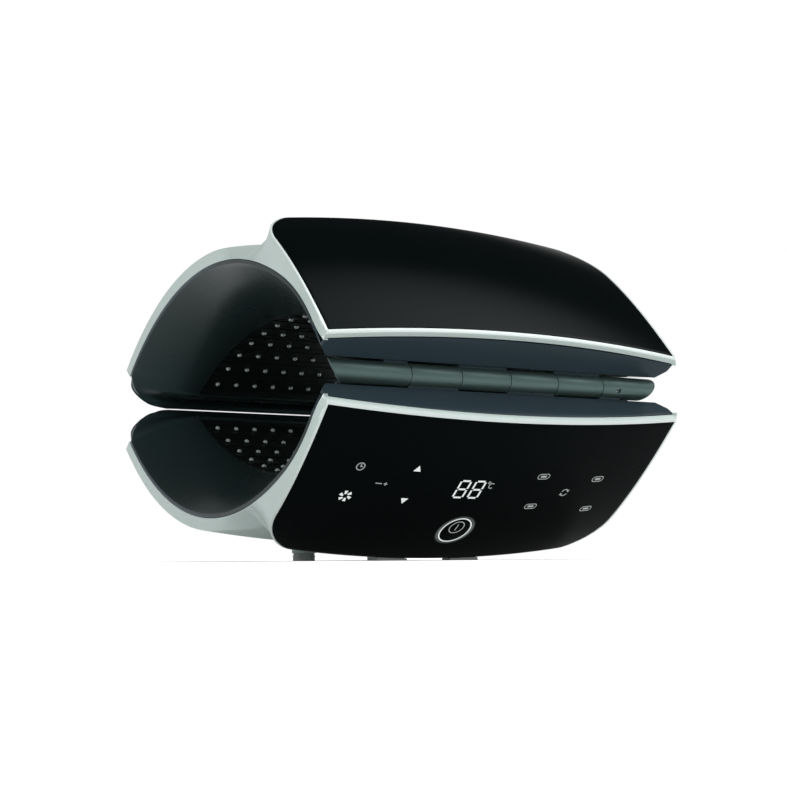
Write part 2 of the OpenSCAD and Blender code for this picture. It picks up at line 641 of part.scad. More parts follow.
module fan_impeller() at_fan() {
    difference() {
        translate([0, 0, 2]) cylinder(h = fan_t - 3, r = hub_r);
        translate([0, 0, 1]) cylinder(h = hub_h, r = hub_r - 1.4);
    }
    translate([0, 0, 1.3]) cylinder(h = fan_t - 4, r = shaft_r);
    intersection() {
        difference() {
            translate([0, 0, 2.6]) cylinder(h = fan_t - 4, r = fan_bore_r - 0.9);
            translate([0, 0, 1]) cylinder(h = fan_t, r = hub_r - 0.6);
        }
        for (k = [0:fan_blades - 1]) rotate(360 / fan_blades * k) translate([0, 0, fan_t / 2])
            rotate([38, 0, 0]) translate([0, -0.6, -12]) cube([fan_bore_r, 1.2, 24]);
    }
}
module fan_screws() at_fan_corners() translate([0, 0, fan_z - fan_t])
    pan_screw(fan_t + 3.6, fan_screw_r);

// ---- Hinge ----

knuckle_x = concat([-barrel_half], [for (k = [0:4]) knuckle_first_x + k * knuckle_pitch],
    [barrel_half]);
leaf_y1 = 33;
neck_w = 17;
strip_y = [21.8, 23.4];
strip_plan = let (a = -knuckle_x[1] + neck_w, b = pin_half)
    [[-b, strip_y[0]], [b, strip_y[0]], [b, strip_y[1]], [a, leaf_y1 - 2], [a - 4, leaf_y1],
     [4 - a, leaf_y1], [-a, leaf_y1 - 2], [-b, strip_y[1]]];
bush_r = 4.5;
pin_grip = 0.02;
module bar_x(x0, x1, r) translate([x0, hinge_y, 0]) rotate([0, 90, 0])
    cylinder(h = x1 - x0, r = r);
module leaf_profile() polygon([[hinge_y - 3, 6], [hinge_y - 3, land_z], [leaf_y1, land_z],
    [leaf_y1, land_z - leaf_t], [22.6, land_z - leaf_t], [20.5, 4]]);
module along_x(x0, x1) rotate([90, 0, 90]) translate([0, 0, x0]) linear_extrude(x1 - x0)
    children();
// A leaf carries every second knuckle; its end knuckle is cut at a slant and hangs on by a
// short neck, the others are joined over their whole length.
module hinge_leaf(first) {
    side = first == 0 ? -1 : 1;
    outer = first == 0 ? 0 : 5;
    x_in = first == 0 ? knuckle_x[1] : knuckle_x[5];
    neck = side > 0 ? [x_in + knuckle_gap / 2, x_in + neck_w]
        : [x_in - neck_w, x_in - knuckle_gap / 2];
    difference() {
        union() {
            for (k = [first:2:5]) if (k != outer) {
                bar_x(knuckle_x[k] + knuckle_gap / 2, knuckle_x[k + 1] - knuckle_gap / 2, barrel_r);
                along_x(knuckle_x[k] + knuckle_gap / 2, knuckle_x[k + 1] - knuckle_gap / 2)
                    leaf_profile();
            }
            difference() {
                bar_x(side > 0 ? neck[0] : -barrel_half - 8, side > 0 ? barrel_half + 8 : neck[1],
                    barrel_r);
                translate([side * barrel_half, hinge_y, 0])
                    rotate([0, -barrel_end_a, side * barrel_end_turn])
                    translate([side > 0 ? 0 : -30, -20, -20]) cube([30, 40, 40]);
            }
            along_x(neck[0], neck[1]) leaf_profile();
            translate([0, 0, land_z - leaf_t]) linear_extrude(leaf_t) polygon(strip_plan);
        }
        at_leaf_screws() cylinder(h = 20, r = screw_r + thread_play);
        children();
    }
}
module lid_hinge_leaf() color(charcoal) hinge_leaf(0) {
    bar_x(-pin_half - fit, knuckle_x[1], bush_r);
    bar_x(knuckle_x[2], knuckle_x[3], pin_r + pin_clearance);
    bar_x(knuckle_x[4], knuckle_x[5], bush_r);
}
grub_x = 93;
grub_a = 18;
recess = [3.6, 2.4, 1.4];
module at_grub() translate([grub_x, hinge_y, 0]) rotate([90 - grub_a, 0, 0]) children();
module base_hinge_leaf() color(charcoal) base() hinge_leaf(1) {
    bar_x(knuckle_x[1], pin_half + fit, pin_r + pin_grip);
    at_grub() cylinder(h = barrel_r, r = screw_r + 0.05);
    at_grub() translate([-recess[0] / 2, -recess[1] / 2, barrel_r - recess[2]])
        cube([recess[0], recess[1], 4]);
}
module hinge_pin() color(steel) bar_x(-pin_half, pin_half, pin_r);
module pin_grub_screw() color(steel) base() at_grub() translate([0, 0, pin_r + pin_grip])
    difference() {
        cylinder(h = 3.1, r = screw_r);
        translate([0, 0, 1.8]) cylinder(h = 3, r = 0.9, $fn = 6);
    }
module friction_washers() color(steel) for (k = [1:5]) difference() {
    bar_x(knuckle_x[k] - knuckle_gap / 2 + 0.1, knuckle_x[k] + knuckle_gap / 2 - 0.1, barrel_r - 0.5);
    bar_x(knuckle_x[k] - 1, knuckle_x[k] + 1, pin_r + pin_clearance);
}
module bush(x0, x1) difference() {
    bar_x(x0, x1, bush_r - 0.05);
    bar_x(x0 - 1, x1 + 1, pin_r + pin_clearance);
    translate([x0 - 1, hinge_y - 0.8, 0]) cube([x1 - x0 + 2, 1.6, 10]);
}
module friction_bushes() color(rubber) {
    bush(-pin_half, knuckle_x[1] - knuckle_gap / 2);
    bush(knuckle_x[4] + knuckle_gap / 2, knuckle_x[5] - knuckle_gap / 2);
}

// ---- Controls ----

key_gap = 0.2;
module key_hole(h, r) at_slope(0, key_t) translate([0, 0, -h / 2]) cylinder(h = h, r = r);
module control_panel() color(black) base() difference() {
    cover_panel();
    key_hole(12, key_d / 2 + key_gap);
}
// The key's lit ring is the outer end of a light guide that stands on the touch board.
module power_key() color(black) base() difference() {
    at_slope(0, key_t) translate([0, 0, -0.25]) mirror([0, 0, 1]) {
        cylinder(h = panel_t, r = key_d / 2);
        difference() {
            cylinder(h = 30, r = key_d / 2 - 1);
            translate([0, 0, panel_t]) cylinder(h = 30, r = key_d / 2 - 2.6);
        }
    }
    at_chord() translate([-30, 0, -touch_depth - 60]) cube([60, 200, 60]);
}
touch_mid = chord_len * 0.5;
touch_post = [[101, 0.19], [101, 0.76]];
touch_window = [188, 30, 103];
module touch_board() color(board_green) base() difference() {
    at_chord() translate([-touch_size[0] / 2, touch_mid - touch_size[1] / 2,
        -touch_depth - touch_size[2]]) cube(touch_size);
    for (x = [-1, 1], p = touch_post) at_chord()
        translate([x * p[0], chord_place(p[0], p[1])[0], -touch_depth - 5])
            cylinder(h = 10, r = screw_r + thread_play);
}
display_place = chord_place(display_x, display_t);
display_h = display_place[1] - panel_t - 0.8 + touch_depth;
module display_module() color(black) base() at_chord()
    translate([display_x, display_place[0], -touch_depth]) difference() {
        translate([-display_size[0] / 2, -display_size[1] / 2, 0])
            cube([display_size[0], display_size[1], display_h]);
        for (x = [-1, 1]) translate([x * display_size[0] / 4 - 6.5, -8, display_h - 1])
            cube([13, 16, 2]);
        translate([-display_size[0] / 2 + 1.6, -display_size[1] / 2 - 1, 1.6])
            cube([display_size[0] - 3.2, display_size[1] + 2, display_h - display_size[2] - 1.6]);
    }

// ---- Boards ----

main_post = [for (x = [-1, 1], y = [-1, 1])
    [x * (main_size[0] / 2 - 5), main_y + y * (main_size[1] / 2 - 5)]];
driver_post = [for (x = [-1, 1], y = [-1, 1])
    [x * (driver_size[0] / 2 - 5), main_y + y * (driver_size[1] / 2 - 5)]];
module board(size, posts) difference() {
    translate([-size[0] / 2, main_y - size[1] / 2, main_z]) cube(size);
    for (p = posts) translate([p[0], p[1], main_z - 1])
        cylinder(h = 5, r = screw_r + thread_play);
}
module main_board() color(board_green) base() {
    board(main_size, main_post);
    for (x = [-40, -22]) translate([x, main_y - 8, main_z - 11]) cylinder(h = 11, r = 5);
    translate([10, main_y - 12, main_z - 4]) cube([26, 22, 4]);
    translate([main_size[0] / 2 - 12, main_y - 6, main_z - 7]) cube([9, 14, 7]);
}
module lid_driver_board() color(board_green) {
    board(driver_size, driver_post);
    for (x = [-30, 0, 30]) translate([x - 7, main_y - 7, main_z - 3.5]) cube([14, 12, 3.5]);
    translate([driver_size[0] / 2 - 12, main_y - 6, main_z - 7]) cube([9, 14, 7]);
}
module buzzer() color(black) base() translate([18 - main_size[0] / 2, main_y + 14, main_z]) mirror([0, 0, 1])
    difference() {
        cylinder(h = 7, r = 6);
        translate([0, 0, 5.6]) cylinder(h = 2, r = 1.2);
    }
inlet_y = 68;
inlet_z = 72.7;
inlet_x = rim_half([inlet_y, corner_r]) - 0.2;
module dc_inlet() color(black) base() translate([inlet_x, inlet_y, inlet_z]) rotate([0, -90, 0]) {
    difference() {
        union() {
            cylinder(h = inlet_depth + 3, r = inlet_d / 2);
            translate([0, 0, end_wall + 3.6]) cylinder(h = 2, r = inlet_d / 2 + 1.4);
        }
        translate([0, 0, -1]) cylinder(h = inlet_depth + 1, r = inlet_bore_d / 2);
    }
    translate([0, 0, 1]) cylinder(h = inlet_depth, r = inlet_pin_d / 2);
}

// ---- Feet ----

foot_size = [22, 9];
foot_lead = 1;
ridge_tilt = atan(-2 * crown_ridge * front_foot_x / pow(square_half(slope_run), 2));
module front_feet() color(rubber) base() for (x = [-1, 1]) difference() {
    translate([x * front_foot_x - foot_size[0] / 2, ridge_pt(0)[0] - foot_lead, stand_z - 8])
        cube([foot_size[0], foot_size[1], 8]);
    translate([x * front_foot_x, 0, crowned(ridge_pt(0), front_foot_x)[2] - ridge_pt(0)[1]])
        rotate([0, -x * ridge_tilt, 0]) along_x(-30, 30)
            polygon(concat([[60, 20]], [for (t = [0.7, 0.85, 1]) slope_pt(t) + [-0.1, 0.1]],
                [for (h = [18:-11:-48]) ridge_pt(h) + 0.1 * [-sin(h), cos(h)]],
                [ridge_back + [notch_run + 0.1, 0.1] * [[cos(ridge_back_h), sin(ridge_back_h)],
                    [-sin(ridge_back_h), cos(ridge_back_h)]], [110, 20]]));
}
rear_foot_z = stand_z - pad_h;
module rear_feet() color(rubber) base() for (x = [-rear_foot_x, rear_foot_x])
    translate([x, rear_foot_y, rear_foot_z]) {
        translate([0, 0, 1]) cylinder(h = pad_h - 1, r = rear_foot_d / 2 - 0.6);
        cylinder(h = 1, r = rear_foot_d / 2 - 1);
        translate([0, 0, -2.5]) cylinder(h = 2.5, r = 2.4);
    }

// ---- Whole pieces ----

module base() mirror([0, 0, 1]) children();
module seat() translate([0, -(rear_y + trim_outer[1][0] - crown_forward) / 2, stand_z]) children();

module base_outer_shell() color(silver) base() difference() {
    $fn = small_fn;
    union() {
        shell(main_post, main_z + main_size[2]);
        for (x = [-1, 1], p = touch_post) at_chord()
            translate([x * p[0], chord_place(p[0], p[1])[0], -touch_depth])
                cylinder(h = chord_place(p[0], p[1])[1] + touch_depth - seat_d - wall / 2,
                    r = boss_r);
        for (x = [-rear_foot_x, rear_foot_x]) difference() {
            translate([x, rear_foot_y, skin_z(x, rear_foot_y) - wall / 2])
                cylinder(h = rear_foot_z - skin_z(x, rear_foot_y) + wall / 2, r = rear_foot_d / 2);
            translate([x, rear_foot_y, rear_foot_z - 3]) cylinder(h = 4, r = 2.5);
        }
    }
    at_chord() translate([-touch_window[0] / 2, touch_window[1], -8])
        cube([touch_window[0], touch_window[2] - touch_window[1], 40]);
    translate([inlet_x + 5, inlet_y, inlet_z]) rotate([0, -90, 0])
        cylinder(h = 12, r = inlet_d / 2 + 0.15);
    for (x = [-1, 1], p = touch_post) at_chord()
        translate([x * p[0], chord_place(p[0], p[1])[0], -touch_depth - 1])
            cylinder(h = 6, r = screw_r + thread_play);
}
module base_inner_tray() color(charcoal) base() tray();
module base_led_bed() color(black) base() led_bed();
module base_led_boards() color(board_green) base() led_boards();
module base_leds() color(silver) base() leds();
module base_fan_frame() color(black) base() fan_frame();
module base_fan_impeller() color(black) base() fan_impeller();
module base_fan_screws() color(steel) base() fan_screws();
module base_tray_screws() color(steel) base() tray_screws();
module base_leaf_screws() color(steel) base() leaf_screws();
module lid_outer_shell() color(silver) shell(driver_post, main_z + driver_size[2]);
module lid_cover_panel() color(black) cover_panel();
module lid_inner_tray() color(charcoal) tray();
module lid_led_bed() color(black) led_bed();
module lid_led_boards() color(board_green) led_boards();
module lid_leds() color(silver) leds();
module lid_fan_frame() color(black) fan_frame();
module lid_fan_impeller() color(black) fan_impeller();
module lid_fan_screws() color(steel) fan_screws();
module lid_tray_screws() color(steel) tray_screws();
module lid_leaf_screws() color(steel) leaf_screws();

seat() {
    base_outer_shell();
    control_panel();
    base_inner_tray();
    base_hinge_leaf();
    base_led_bed();
    base_led_boards();
    base_leds();
    touch_board();
    display_module();
    power_key();
    main_board();
    buzzer();
    base_fan_frame();
    base_fan_impeller();
    base_fan_screws();
    dc_inlet();
    front_feet();
    rear_feet();
    base_tray_screws();
    base_leaf_screws();
    hinge_pin();
    pin_grub_screw();
    friction_washers();
    lid_outer_shell();
    lid_cover_panel();
    lid_inner_tray();
    lid_hinge_leaf();
    lid_led_bed();
    lid_led_boards();
    lid_leds();
    lid_driver_board();
    lid_fan_frame();
    lid_fan_impeller();
    lid_fan_screws();
    lid_tray_screws();
    lid_leaf_screws();
    friction_bushes();
}
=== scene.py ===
"""Looks of the folding light therapy lamp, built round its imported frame."""

import logging
import math
from dataclasses import asdict, dataclass, field
from enum import Enum
from typing import Any, Callable, Iterable, Sequence

import bpy
import numpy as np
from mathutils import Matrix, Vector


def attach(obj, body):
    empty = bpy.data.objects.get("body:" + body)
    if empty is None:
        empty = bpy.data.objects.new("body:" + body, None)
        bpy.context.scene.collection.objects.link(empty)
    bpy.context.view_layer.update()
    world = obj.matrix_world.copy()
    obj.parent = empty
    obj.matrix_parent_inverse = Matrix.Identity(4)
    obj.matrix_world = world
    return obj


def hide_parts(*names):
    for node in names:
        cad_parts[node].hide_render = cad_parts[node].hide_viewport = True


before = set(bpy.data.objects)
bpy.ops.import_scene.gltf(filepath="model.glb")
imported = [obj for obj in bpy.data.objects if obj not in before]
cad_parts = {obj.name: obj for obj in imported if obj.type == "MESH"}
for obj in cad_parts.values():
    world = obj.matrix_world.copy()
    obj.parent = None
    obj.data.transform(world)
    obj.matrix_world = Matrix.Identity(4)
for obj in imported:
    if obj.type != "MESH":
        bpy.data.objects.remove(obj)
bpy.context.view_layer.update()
LOG = logging.getLogger("lamp")
MM = 0.001
# Vertices that lie closer than this become one: on pieces, on thin prints and in flat drawings.
MERGE_MM = 0.002
PRINT_MERGE_MM = 0.001
DRAWN_MERGE_MM = 0.0005
# Faces that turn by less than this make one flat face.
FLAT_DEGREES = 0.5

Object = bpy.types.Object
Points = np.ndarray


class Half(Enum):
    """The two half shells, by the side of the parting plane on which each one lies."""

    LID = 1
    BASE = -1


# ---- Node graphs and finishes ----


def linear(hex_colour: str) -> tuple[float, float, float, float]:
    """Turns an sRGB hex colour into a linear one.

    Args:
        hex_colour: A colour such as "#a1b2c3".

    Returns:
        Red, green and blue in linear light, and an alpha of 1.
    """
    parts = [int(hex_colour[i:i + 2], 16) / 255 for i in (1, 3, 5)]
    r, g, b = [c / 12.92 if c < 0.04045 else ((c + 0.055) / 1.055) ** 2.4 for c in parts]
    return r, g, b, 1.0


def add_node(tree: bpy.types.NodeTree, kind: str, values: dict[Any, Any] | None = None,
             **settings: Any) -> bpy.types.Node:
    """Adds a shader node, sets it up and links it.

    Args:
        tree: The tree that the node joins.
        kind: The node's type, without its "ShaderNode" prefix.
        values: Input name or index to a value, or to the output socket that feeds it.
        settings: Attributes of the node itself.

    Returns:
        The new node.
    """
    node = tree.nodes.new("ShaderNode" + kind)
    for name, value in settings.items():
        setattr(node, name, value)
    for name, value in (values or {}).items():
        if isinstance(value, bpy.types.NodeSocket):
            tree.links.new(value, node.inputs[name])
        else:
            node.inputs[name].default_value = value
    return node


@dataclass(frozen=True)
class Finish:
    """A surface finish: a base colour that drifts a little, with a fine relief of its process.

    Sizes of patterns are in millimetres.
    """

    name: str
    colour: str
    shade: str
    roughness: float = 0.4
    roughness_drift: float = 0.05
    metallic: float = 0.0
    specular: float = 0.5
    coat: float = 0.0
    grain_mm: float = 0.6
    grain_depth: float = 0.1
    drift_mm: float = 30.0
    tint: str = "#d5ecea"
    glow: str = ""
    glow_strength: float = 0.0
    coat_roughness: float = 0.08

    def pattern(self, tree: bpy.types.NodeTree, place: bpy.types.NodeSocket
                ) -> bpy.types.NodeSocket:
        """Returns the height of the finish's relief, from 0 to 1, at a place.

        Args:
            tree: The tree that the nodes join.
            place: The socket with the place on the piece.

        Returns:
            The socket with the height.
        """
        grain = add_node(tree, "TexNoise", {"Vector": place, "Scale": 1 / (self.grain_mm * MM),
                                            "Detail": 3.0, "Roughness": 0.6})
        return grain.outputs[0]

    def mottle(self, tree: bpy.types.NodeTree, place: bpy.types.NodeSocket
               ) -> bpy.types.NodeSocket:
        """Returns the share of the second shade, from 0 to 1, at a place.

        Args:
            tree: The tree that the nodes join.
            place: The socket with the place on the piece.

        Returns:
            The socket with the share.
        """
        drift = add_node(tree, "TexNoise", {"Vector": place, "Scale": 1 / (self.drift_mm * MM),
                                            "Detail": 2.0})
        return drift.outputs[0]

    def material(self) -> bpy.types.Material:
        """Builds the finish's node graph once, and returns its material.

        Returns:
            The finish's material.
        """
        made = bpy.data.materials.get(self.name)
        if made:
            return made
        made = bpy.data.materials.new(self.name)
        made.use_nodes = True
        made.diffuse_color = linear(self.colour)
        tree = made.node_tree
        shader = next(n for n in tree.nodes if n.type == "BSDF_PRINCIPLED")
        place = add_node(tree, "TexCoord").outputs["Object"]
        relief, share = self.pattern(tree, place), self.mottle(tree, place)
        colour = add_node(tree, "Mix", {0: share, 6: linear(self.colour), 7: linear(self.shade)},
                          data_type="RGBA")
        rough = add_node(tree, "MapRange", {
            0: share, 3: self.roughness - self.roughness_drift,
            4: self.roughness + self.roughness_drift})
        bump = add_node(tree, "Bump", {"Height": relief, "Strength": 1.0,
                                       "Distance": self.grain_depth * self.grain_mm * MM})
        tree.links.new(colour.outputs[2], shader.inputs["Base Color"])
        tree.links.new(rough.outputs[0], shader.inputs["Roughness"])
        tree.links.new(bump.outputs[0], shader.inputs["Normal"])
        shader.inputs["Metallic"].default_value = self.metallic
        shader.inputs["Specular IOR Level"].default_value = self.specular
        shader.inputs["Specular Tint"].default_value = linear(self.tint)
        shader.inputs["Coat Weight"].default_value = self.coat
        shader.inputs["Coat Roughness"].default_value = self.coat_roughness
        if self.glow:
            shader.inputs["Emission Color"].default_value = linear(self.glow)
            self.light_up(tree, shader, place)
        return made

    def light_up(self, tree: bpy.types.NodeTree, shader: bpy.types.Node,
                 place: bpy.types.NodeSocket) -> None:
        """Sets the strength of the finish's own light."""
        shader.inputs["Emission Strength"].default_value = self.glow_strength


@dataclass(frozen=True)
class RibbedFinish(Finish):
    """A finish with fine parallel marks along the hinge, as from drawing or brushing."""

    squeeze: float = 0.04

    def pattern(self, tree: bpy.types.NodeTree, place: bpy.types.NodeSocket
                ) -> bpy.types.NodeSocket:
        """Returns the height of marks that are long along X and short across it.

        Args:
            tree: The tree that the nodes join.
            place: The socket with the place on the piece.

        Returns:
            The socket with the height.
        """
        turned = add_node(tree, "Mapping", {"Vector": place, "Scale": (self.squeeze, 1.0, 1.0)})
        marks = add_node(tree, "TexNoise", {"Vector": turned.outputs[0], "Detail": 4.0,
                                            "Scale": 1 / (self.grain_mm * MM)})
        return marks.outputs[0]


@dataclass(frozen=True)
class BoardFinish(Finish):
    """Solder mask over a laminate, with the tracks of copper showing through it."""

    track_mm: float = 2.4

    def mottle(self, tree: bpy.types.NodeTree, place: bpy.types.NodeSocket
               ) -> bpy.types.NodeSocket:
        """Returns 1 over a track and at most 0.3 between tracks.

        Args:
            tree: The tree that the nodes join.
            place: The socket with the place on the piece.

        Returns:
            The socket with the share.
        """
        tracks = add_node(tree, "TexBrick", {
            "Vector": place, "Scale": 1 / (self.track_mm * MM), "Mortar Size": 0.03,
            "Color1": (0, 0, 0, 1), "Color2": (0.3, 0.3, 0.3, 1), "Mortar": (1, 1, 1, 1)})
        return tracks.outputs[0]


@dataclass(frozen=True)
class HaloFinish(Finish):
    """Gloss black round a lit ring, where the ring's light fades with the distance from it."""

    centre: tuple[float, float, float] = (0.0, 0.0, 0.0)
    inner_mm: float = 13.0
    outer_mm: float = 17.0
    fade_power: float = 2.2

    def light_up(self, tree: bpy.types.NodeTree, shader: bpy.types.Node,
                 place: bpy.types.NodeSocket) -> None:
        """Feeds the strength from the distance to the ring's middle.

        Args:
            tree: The tree that the nodes join.
            shader: The node that gives the light.
            place: The socket with the place on the piece.
        """
        far = add_node(tree, "VectorMath", {0: place, 1: self.centre}, operation="DISTANCE")
        fade = add_node(tree, "MapRange", {
            0: far.outputs["Value"], 1: self.inner_mm * MM, 2: self.outer_mm * MM, 3: 1.0, 4: 0.0})
        curve = add_node(tree, "Math", {0: fade.outputs[0], 1: self.fade_power},
                         operation="POWER")
        power = add_node(tree, "Math", {0: curve.outputs[0], 1: self.glow_strength},
                         operation="MULTIPLY")
        tree.links.new(power.outputs[0], shader.inputs["Emission Strength"])


# Satin lacquer with a fine metal flake on moulded ABS: soft highlights along the trim edges.
SATIN_SILVER = Finish("satin_silver_lacquer", "#bac8c4", "#b4c2be", 0.4, 0.03, 0.1, 0.35, 0.0,
                      0.25, 0.05, 45)
# Diamond-cut and polished edge of the same lacquer: a paler line next to the black panel.
CUT_EDGE = Finish("diamond_cut_silver_edge", "#dde6e3", "#d8e2df", 0.25, 0.03, 0.1, 0.5, 0.15,
                  0.3, 0.03, 45)
# Back-printed acrylic: deep black under a polished face.
GLOSS_BLACK = Finish("back_printed_black_acrylic", "#040809", "#060b0c", 0.12, 0.01, 0.0, 0.026,
                     0.0, 6.0, 0.0008, 60, "#b4e2e0")
# The same acrylic over the controls, with a coat against glare.
TOUCH_BLACK = Finish("anti_glare_black_acrylic", "#050809", "#070b0c", 0.14, 0.01, 0.0, 0.012,
                     0.0, 6.0, 0.0008, 60)
# Polished moulded ABS of the tunnel's flare and the front faces.
CHARCOAL = Finish("polished_charcoal_abs", "#303e45", "#2c3940", 0.22, 0.03, 0.0, 0.06, 0.0,
                  2.5, 0.002, 50)
# The same ABS inside the tunnel, polished less, with a darker and a little greener colour that
# paints the shade inside the tunnel.
TUNNEL_SHADE_ABS = Finish("tunnel_abs_painted_shade", "#1d2828", "#192324", 0.28, 0.04, 0.0, 0.1, 0.0,
                    2.5, 0.002, 50, "#a8dcd4")
# Anodised and satin-drawn hinge barrel.
HINGE_SATIN = RibbedFinish("satin_anodised_barrel", "#4c5f5c", "#465855", 0.42, 0.04, 0.6, 0.5,
                           0.0, 0.5, 0.03, 40)
# Spark-eroded black ABS of the ribbed bed.
BED_BLACK = Finish("spark_eroded_black_abs", "#0b0e0d", "#101413", 0.38, 0.05, 0.0, 0.4, 0.0,
                   0.35, 0.12, 20)
# Black solder mask under the lamps.
LAMP_MASK = BoardFinish("black_solder_mask", "#0c100f", "#121816", 0.34, 0.04, 0.0, 0.4, 0.0,
                        0.5, 0.05, 20, track_mm=3.0)
# Green solder mask of the control boards.
GREEN_MASK = BoardFinish("green_solder_mask", "#123b27", "#1d5236", 0.35, 0.05, 0.0, 0.5, 0.0,
                         0.4, 0.05, 20)
# Clear epoxy lens over a small reflector: a pale dot with a sharp highlight.
LAMP_LENS = Finish("clear_epoxy_lens", "#7f8c88", "#a5b1ad", 0.08, 0.02, 0.0, 0.7, 0.5,
                   0.8, 0.02, 1.2)
# Fine-textured black ABS of fans, display body and inlet.
INNER_BLACK = Finish("textured_black_abs", "#141718", "#1b1f20", 0.5, 0.05, 0.0, 0.5, 0.0,
                     0.4, 0.1, 15)
# Moulded pale silicone rubber of the feet: matt, and hardly seen against a pale surface.
RUBBER = Finish("moulded_pale_silicone", "#b9bdbc", "#c3c7c6", 0.6, 0.06, 0.0, 0.35, 0.0,
                0.5, 0.1, 12)
# Natural acetal of the friction bushes and washers.
ACETAL = Finish("grey_acetal", "#2a2d2e", "#333738", 0.45, 0.05, 0.0, 0.5, 0.0, 0.5, 0.04, 10)
# Zinc-plated turned steel.
STEEL = RibbedFinish("zinc_plated_steel", "#b3b9bd", "#a3a9ad", 0.28, 0.05, 1.0, 0.5, 0.0,
                     0.3, 0.04, 8)
# White print lit from behind the panel.
LIT_WHITE = Finish("lit_white_legend", "#0c0e0e", "#101212", 0.3, 0.02, 0.0, 0.2, 0.0, 0.5,
                   0.01, 6, glow="#e9efec", glow_strength=0.92)
# Dimmer legends of the touch keys.
LIT_GREY = Finish("lit_grey_legend", "#0c0e0e", "#101212", 0.3, 0.02, 0.0, 0.2, 0.0, 0.5,
                  0.01, 6, glow="#c3cac7", glow_strength=0.62)


def dress(obj: Object, finish: Finish) -> None:
    """Gives every slot of a piece, or its first one, the finish.

    Args:
        obj: The piece.
        finish: The finish that it gets.
    """
    if obj.material_slots:
        for slot in obj.material_slots:
            slot.material = finish.material()
    else:
        obj.data.materials.append(finish.material())


def dress_faces(obj: Object, finish: Finish, chosen: Points) -> None:
    """Gives the chosen faces of a piece a second finish.

    Args:
        obj: The piece.
        finish: The second finish.
        chosen: Which faces get it, as a mask.
    """
    obj.data.materials.append(finish.material())
    index = np.zeros(len(obj.data.polygons), dtype=np.int32)
    index[chosen] = len(obj.data.materials) - 1
    obj.data.polygons.foreach_set("material_index", index)
    obj.data.update()


# ---- Modelling helpers ----


def start() -> None:
    """Leaves nothing selected, in object mode."""
    if bpy.context.object and bpy.context.object.mode != "OBJECT":
        bpy.ops.object.mode_set(mode="OBJECT")
    bpy.ops.object.select_all(action="DESELECT")


def pick(obj: Object) -> None:
    """Selects one object alone and makes it the active one.

    Args:
        obj: The object that stays selected.
    """
    start()
    obj.select_set(True)
    bpy.context.view_layer.objects.active = obj


def named(name: str) -> Object:
    """Names the object that the last operator added, and returns it.

    Args:
        name: The name for the object and its mesh.

    Returns:
        The object.
    """
    obj = bpy.context.object
    obj.name = name
    obj.data.name = name
    return obj


def corners(obj: Object) -> Points:
    """Returns the piece's vertices as rows of x, y, z.

    Args:
        obj: The piece.

    Returns:
        One row for each vertex, in metres.
    """
    out = np.empty(len(obj.data.vertices) * 3)
    obj.data.vertices.foreach_get("co", out)
    return out.reshape(-1, 3)


def face_data(obj: Object, what: str) -> Points:
    """Returns each face's "center" or "normal" as rows of x, y, z.

    Args:
        obj: The piece.
        what: Either "center" or "normal".

    Returns:
        One row for each face.
    """
    out = np.empty(len(obj.data.polygons) * 3)
    obj.data.polygons.foreach_get(what, out)
    return out.reshape(-1, 3)


def place_corners(obj: Object, points: Points) -> None:
    """Moves the piece's vertices to the given rows of x, y, z."""
    obj.data.vertices.foreach_set("co", np.ascontiguousarray(points, dtype=float).ravel())
    obj.data.update()


def apply_modifier(obj: Object, kind: str, **settings: Any) -> None:
    """Adds a modifier, sets it and applies it.

    Args:
        obj: The piece.
        kind: The modifier's type.
        settings: Attributes of the modifier.
    """
    pick(obj)
    bpy.ops.object.modifier_add(type=kind)
    modifier = obj.modifiers[-1]
    for name, value in settings.items():
        setattr(modifier, name, value)
    bpy.ops.object.modifier_apply(modifier=modifier.name)


def soften(obj: Object, width_mm: float, angle: float = 30.0, segments: int = 3) -> None:
    """Rounds the piece's sharp edges, as a moulding tool or a buffing wheel leaves them.

    Args:
        obj: The piece.
        width_mm: Width of the rounding.
        angle: The least angle of an edge that is rounded, in degrees.
        segments: Number of steps across the rounding.
    """
    apply_modifier(obj, "BEVEL", width=width_mm * MM, segments=segments, limit_method="ANGLE",
                   angle_limit=math.radians(angle), use_clamp_overlap=True,
                   miter_outer="MITER_ARC")


def smooth(obj: Object, angle: float = 30.0) -> None:
    """Shades the piece smoothly, apart from edges sharper than the angle."""
    pick(obj)
    bpy.ops.object.shade_smooth_by_angle(angle=math.radians(angle))


def select_faces(obj: Object, test: Callable[[bpy.types.MeshPolygon], bool]) -> None:
    """Enters edit mode with only those faces of the piece selected that pass the test.

    Args:
        obj: The piece.
        test: Says whether a face is selected.
    """
    pick(obj)
    bpy.ops.object.mode_set(mode="EDIT")
    bpy.ops.mesh.select_all(action="DESELECT")
    bpy.ops.object.mode_set(mode="OBJECT")
    for face in obj.data.polygons:
        face.select = test(face)
    bpy.ops.object.mode_set(mode="EDIT")


def face_out(obj: Object, merge_mm: float = MERGE_MM) -> None:
    """Merges doubled vertices and turns every face outwards.

    Args:
        obj: The piece.
        merge_mm: How close vertices lie that become one.
    """
    pick(obj)
    bpy.ops.object.mode_set(mode="EDIT")
    bpy.ops.mesh.select_all(action="SELECT")
    bpy.ops.mesh.remove_doubles(threshold=merge_mm * MM)
    bpy.ops.mesh.normals_make_consistent(inside=False)
    bpy.ops.object.mode_set(mode="OBJECT")


def cut(obj: Object, tool: Object, operation: str = "DIFFERENCE") -> None:
    """Cuts a tool out of a piece, or joins it on, and removes the tool."""
    apply_modifier(obj, "BOOLEAN", object=tool, operation=operation, solver="EXACT")
    bpy.data.objects.remove(tool)


def join(parts: list[Object], name: str) -> Object:
    """Joins several pieces into the first one, under a name.

    Args:
        parts: The pieces.
        name: Name of the joined piece.

    Returns:
        The joined piece.
    """
    pick(parts[0])
    for part in parts[1:]:
        part.select_set(True)
    bpy.ops.object.join()
    return named(name)


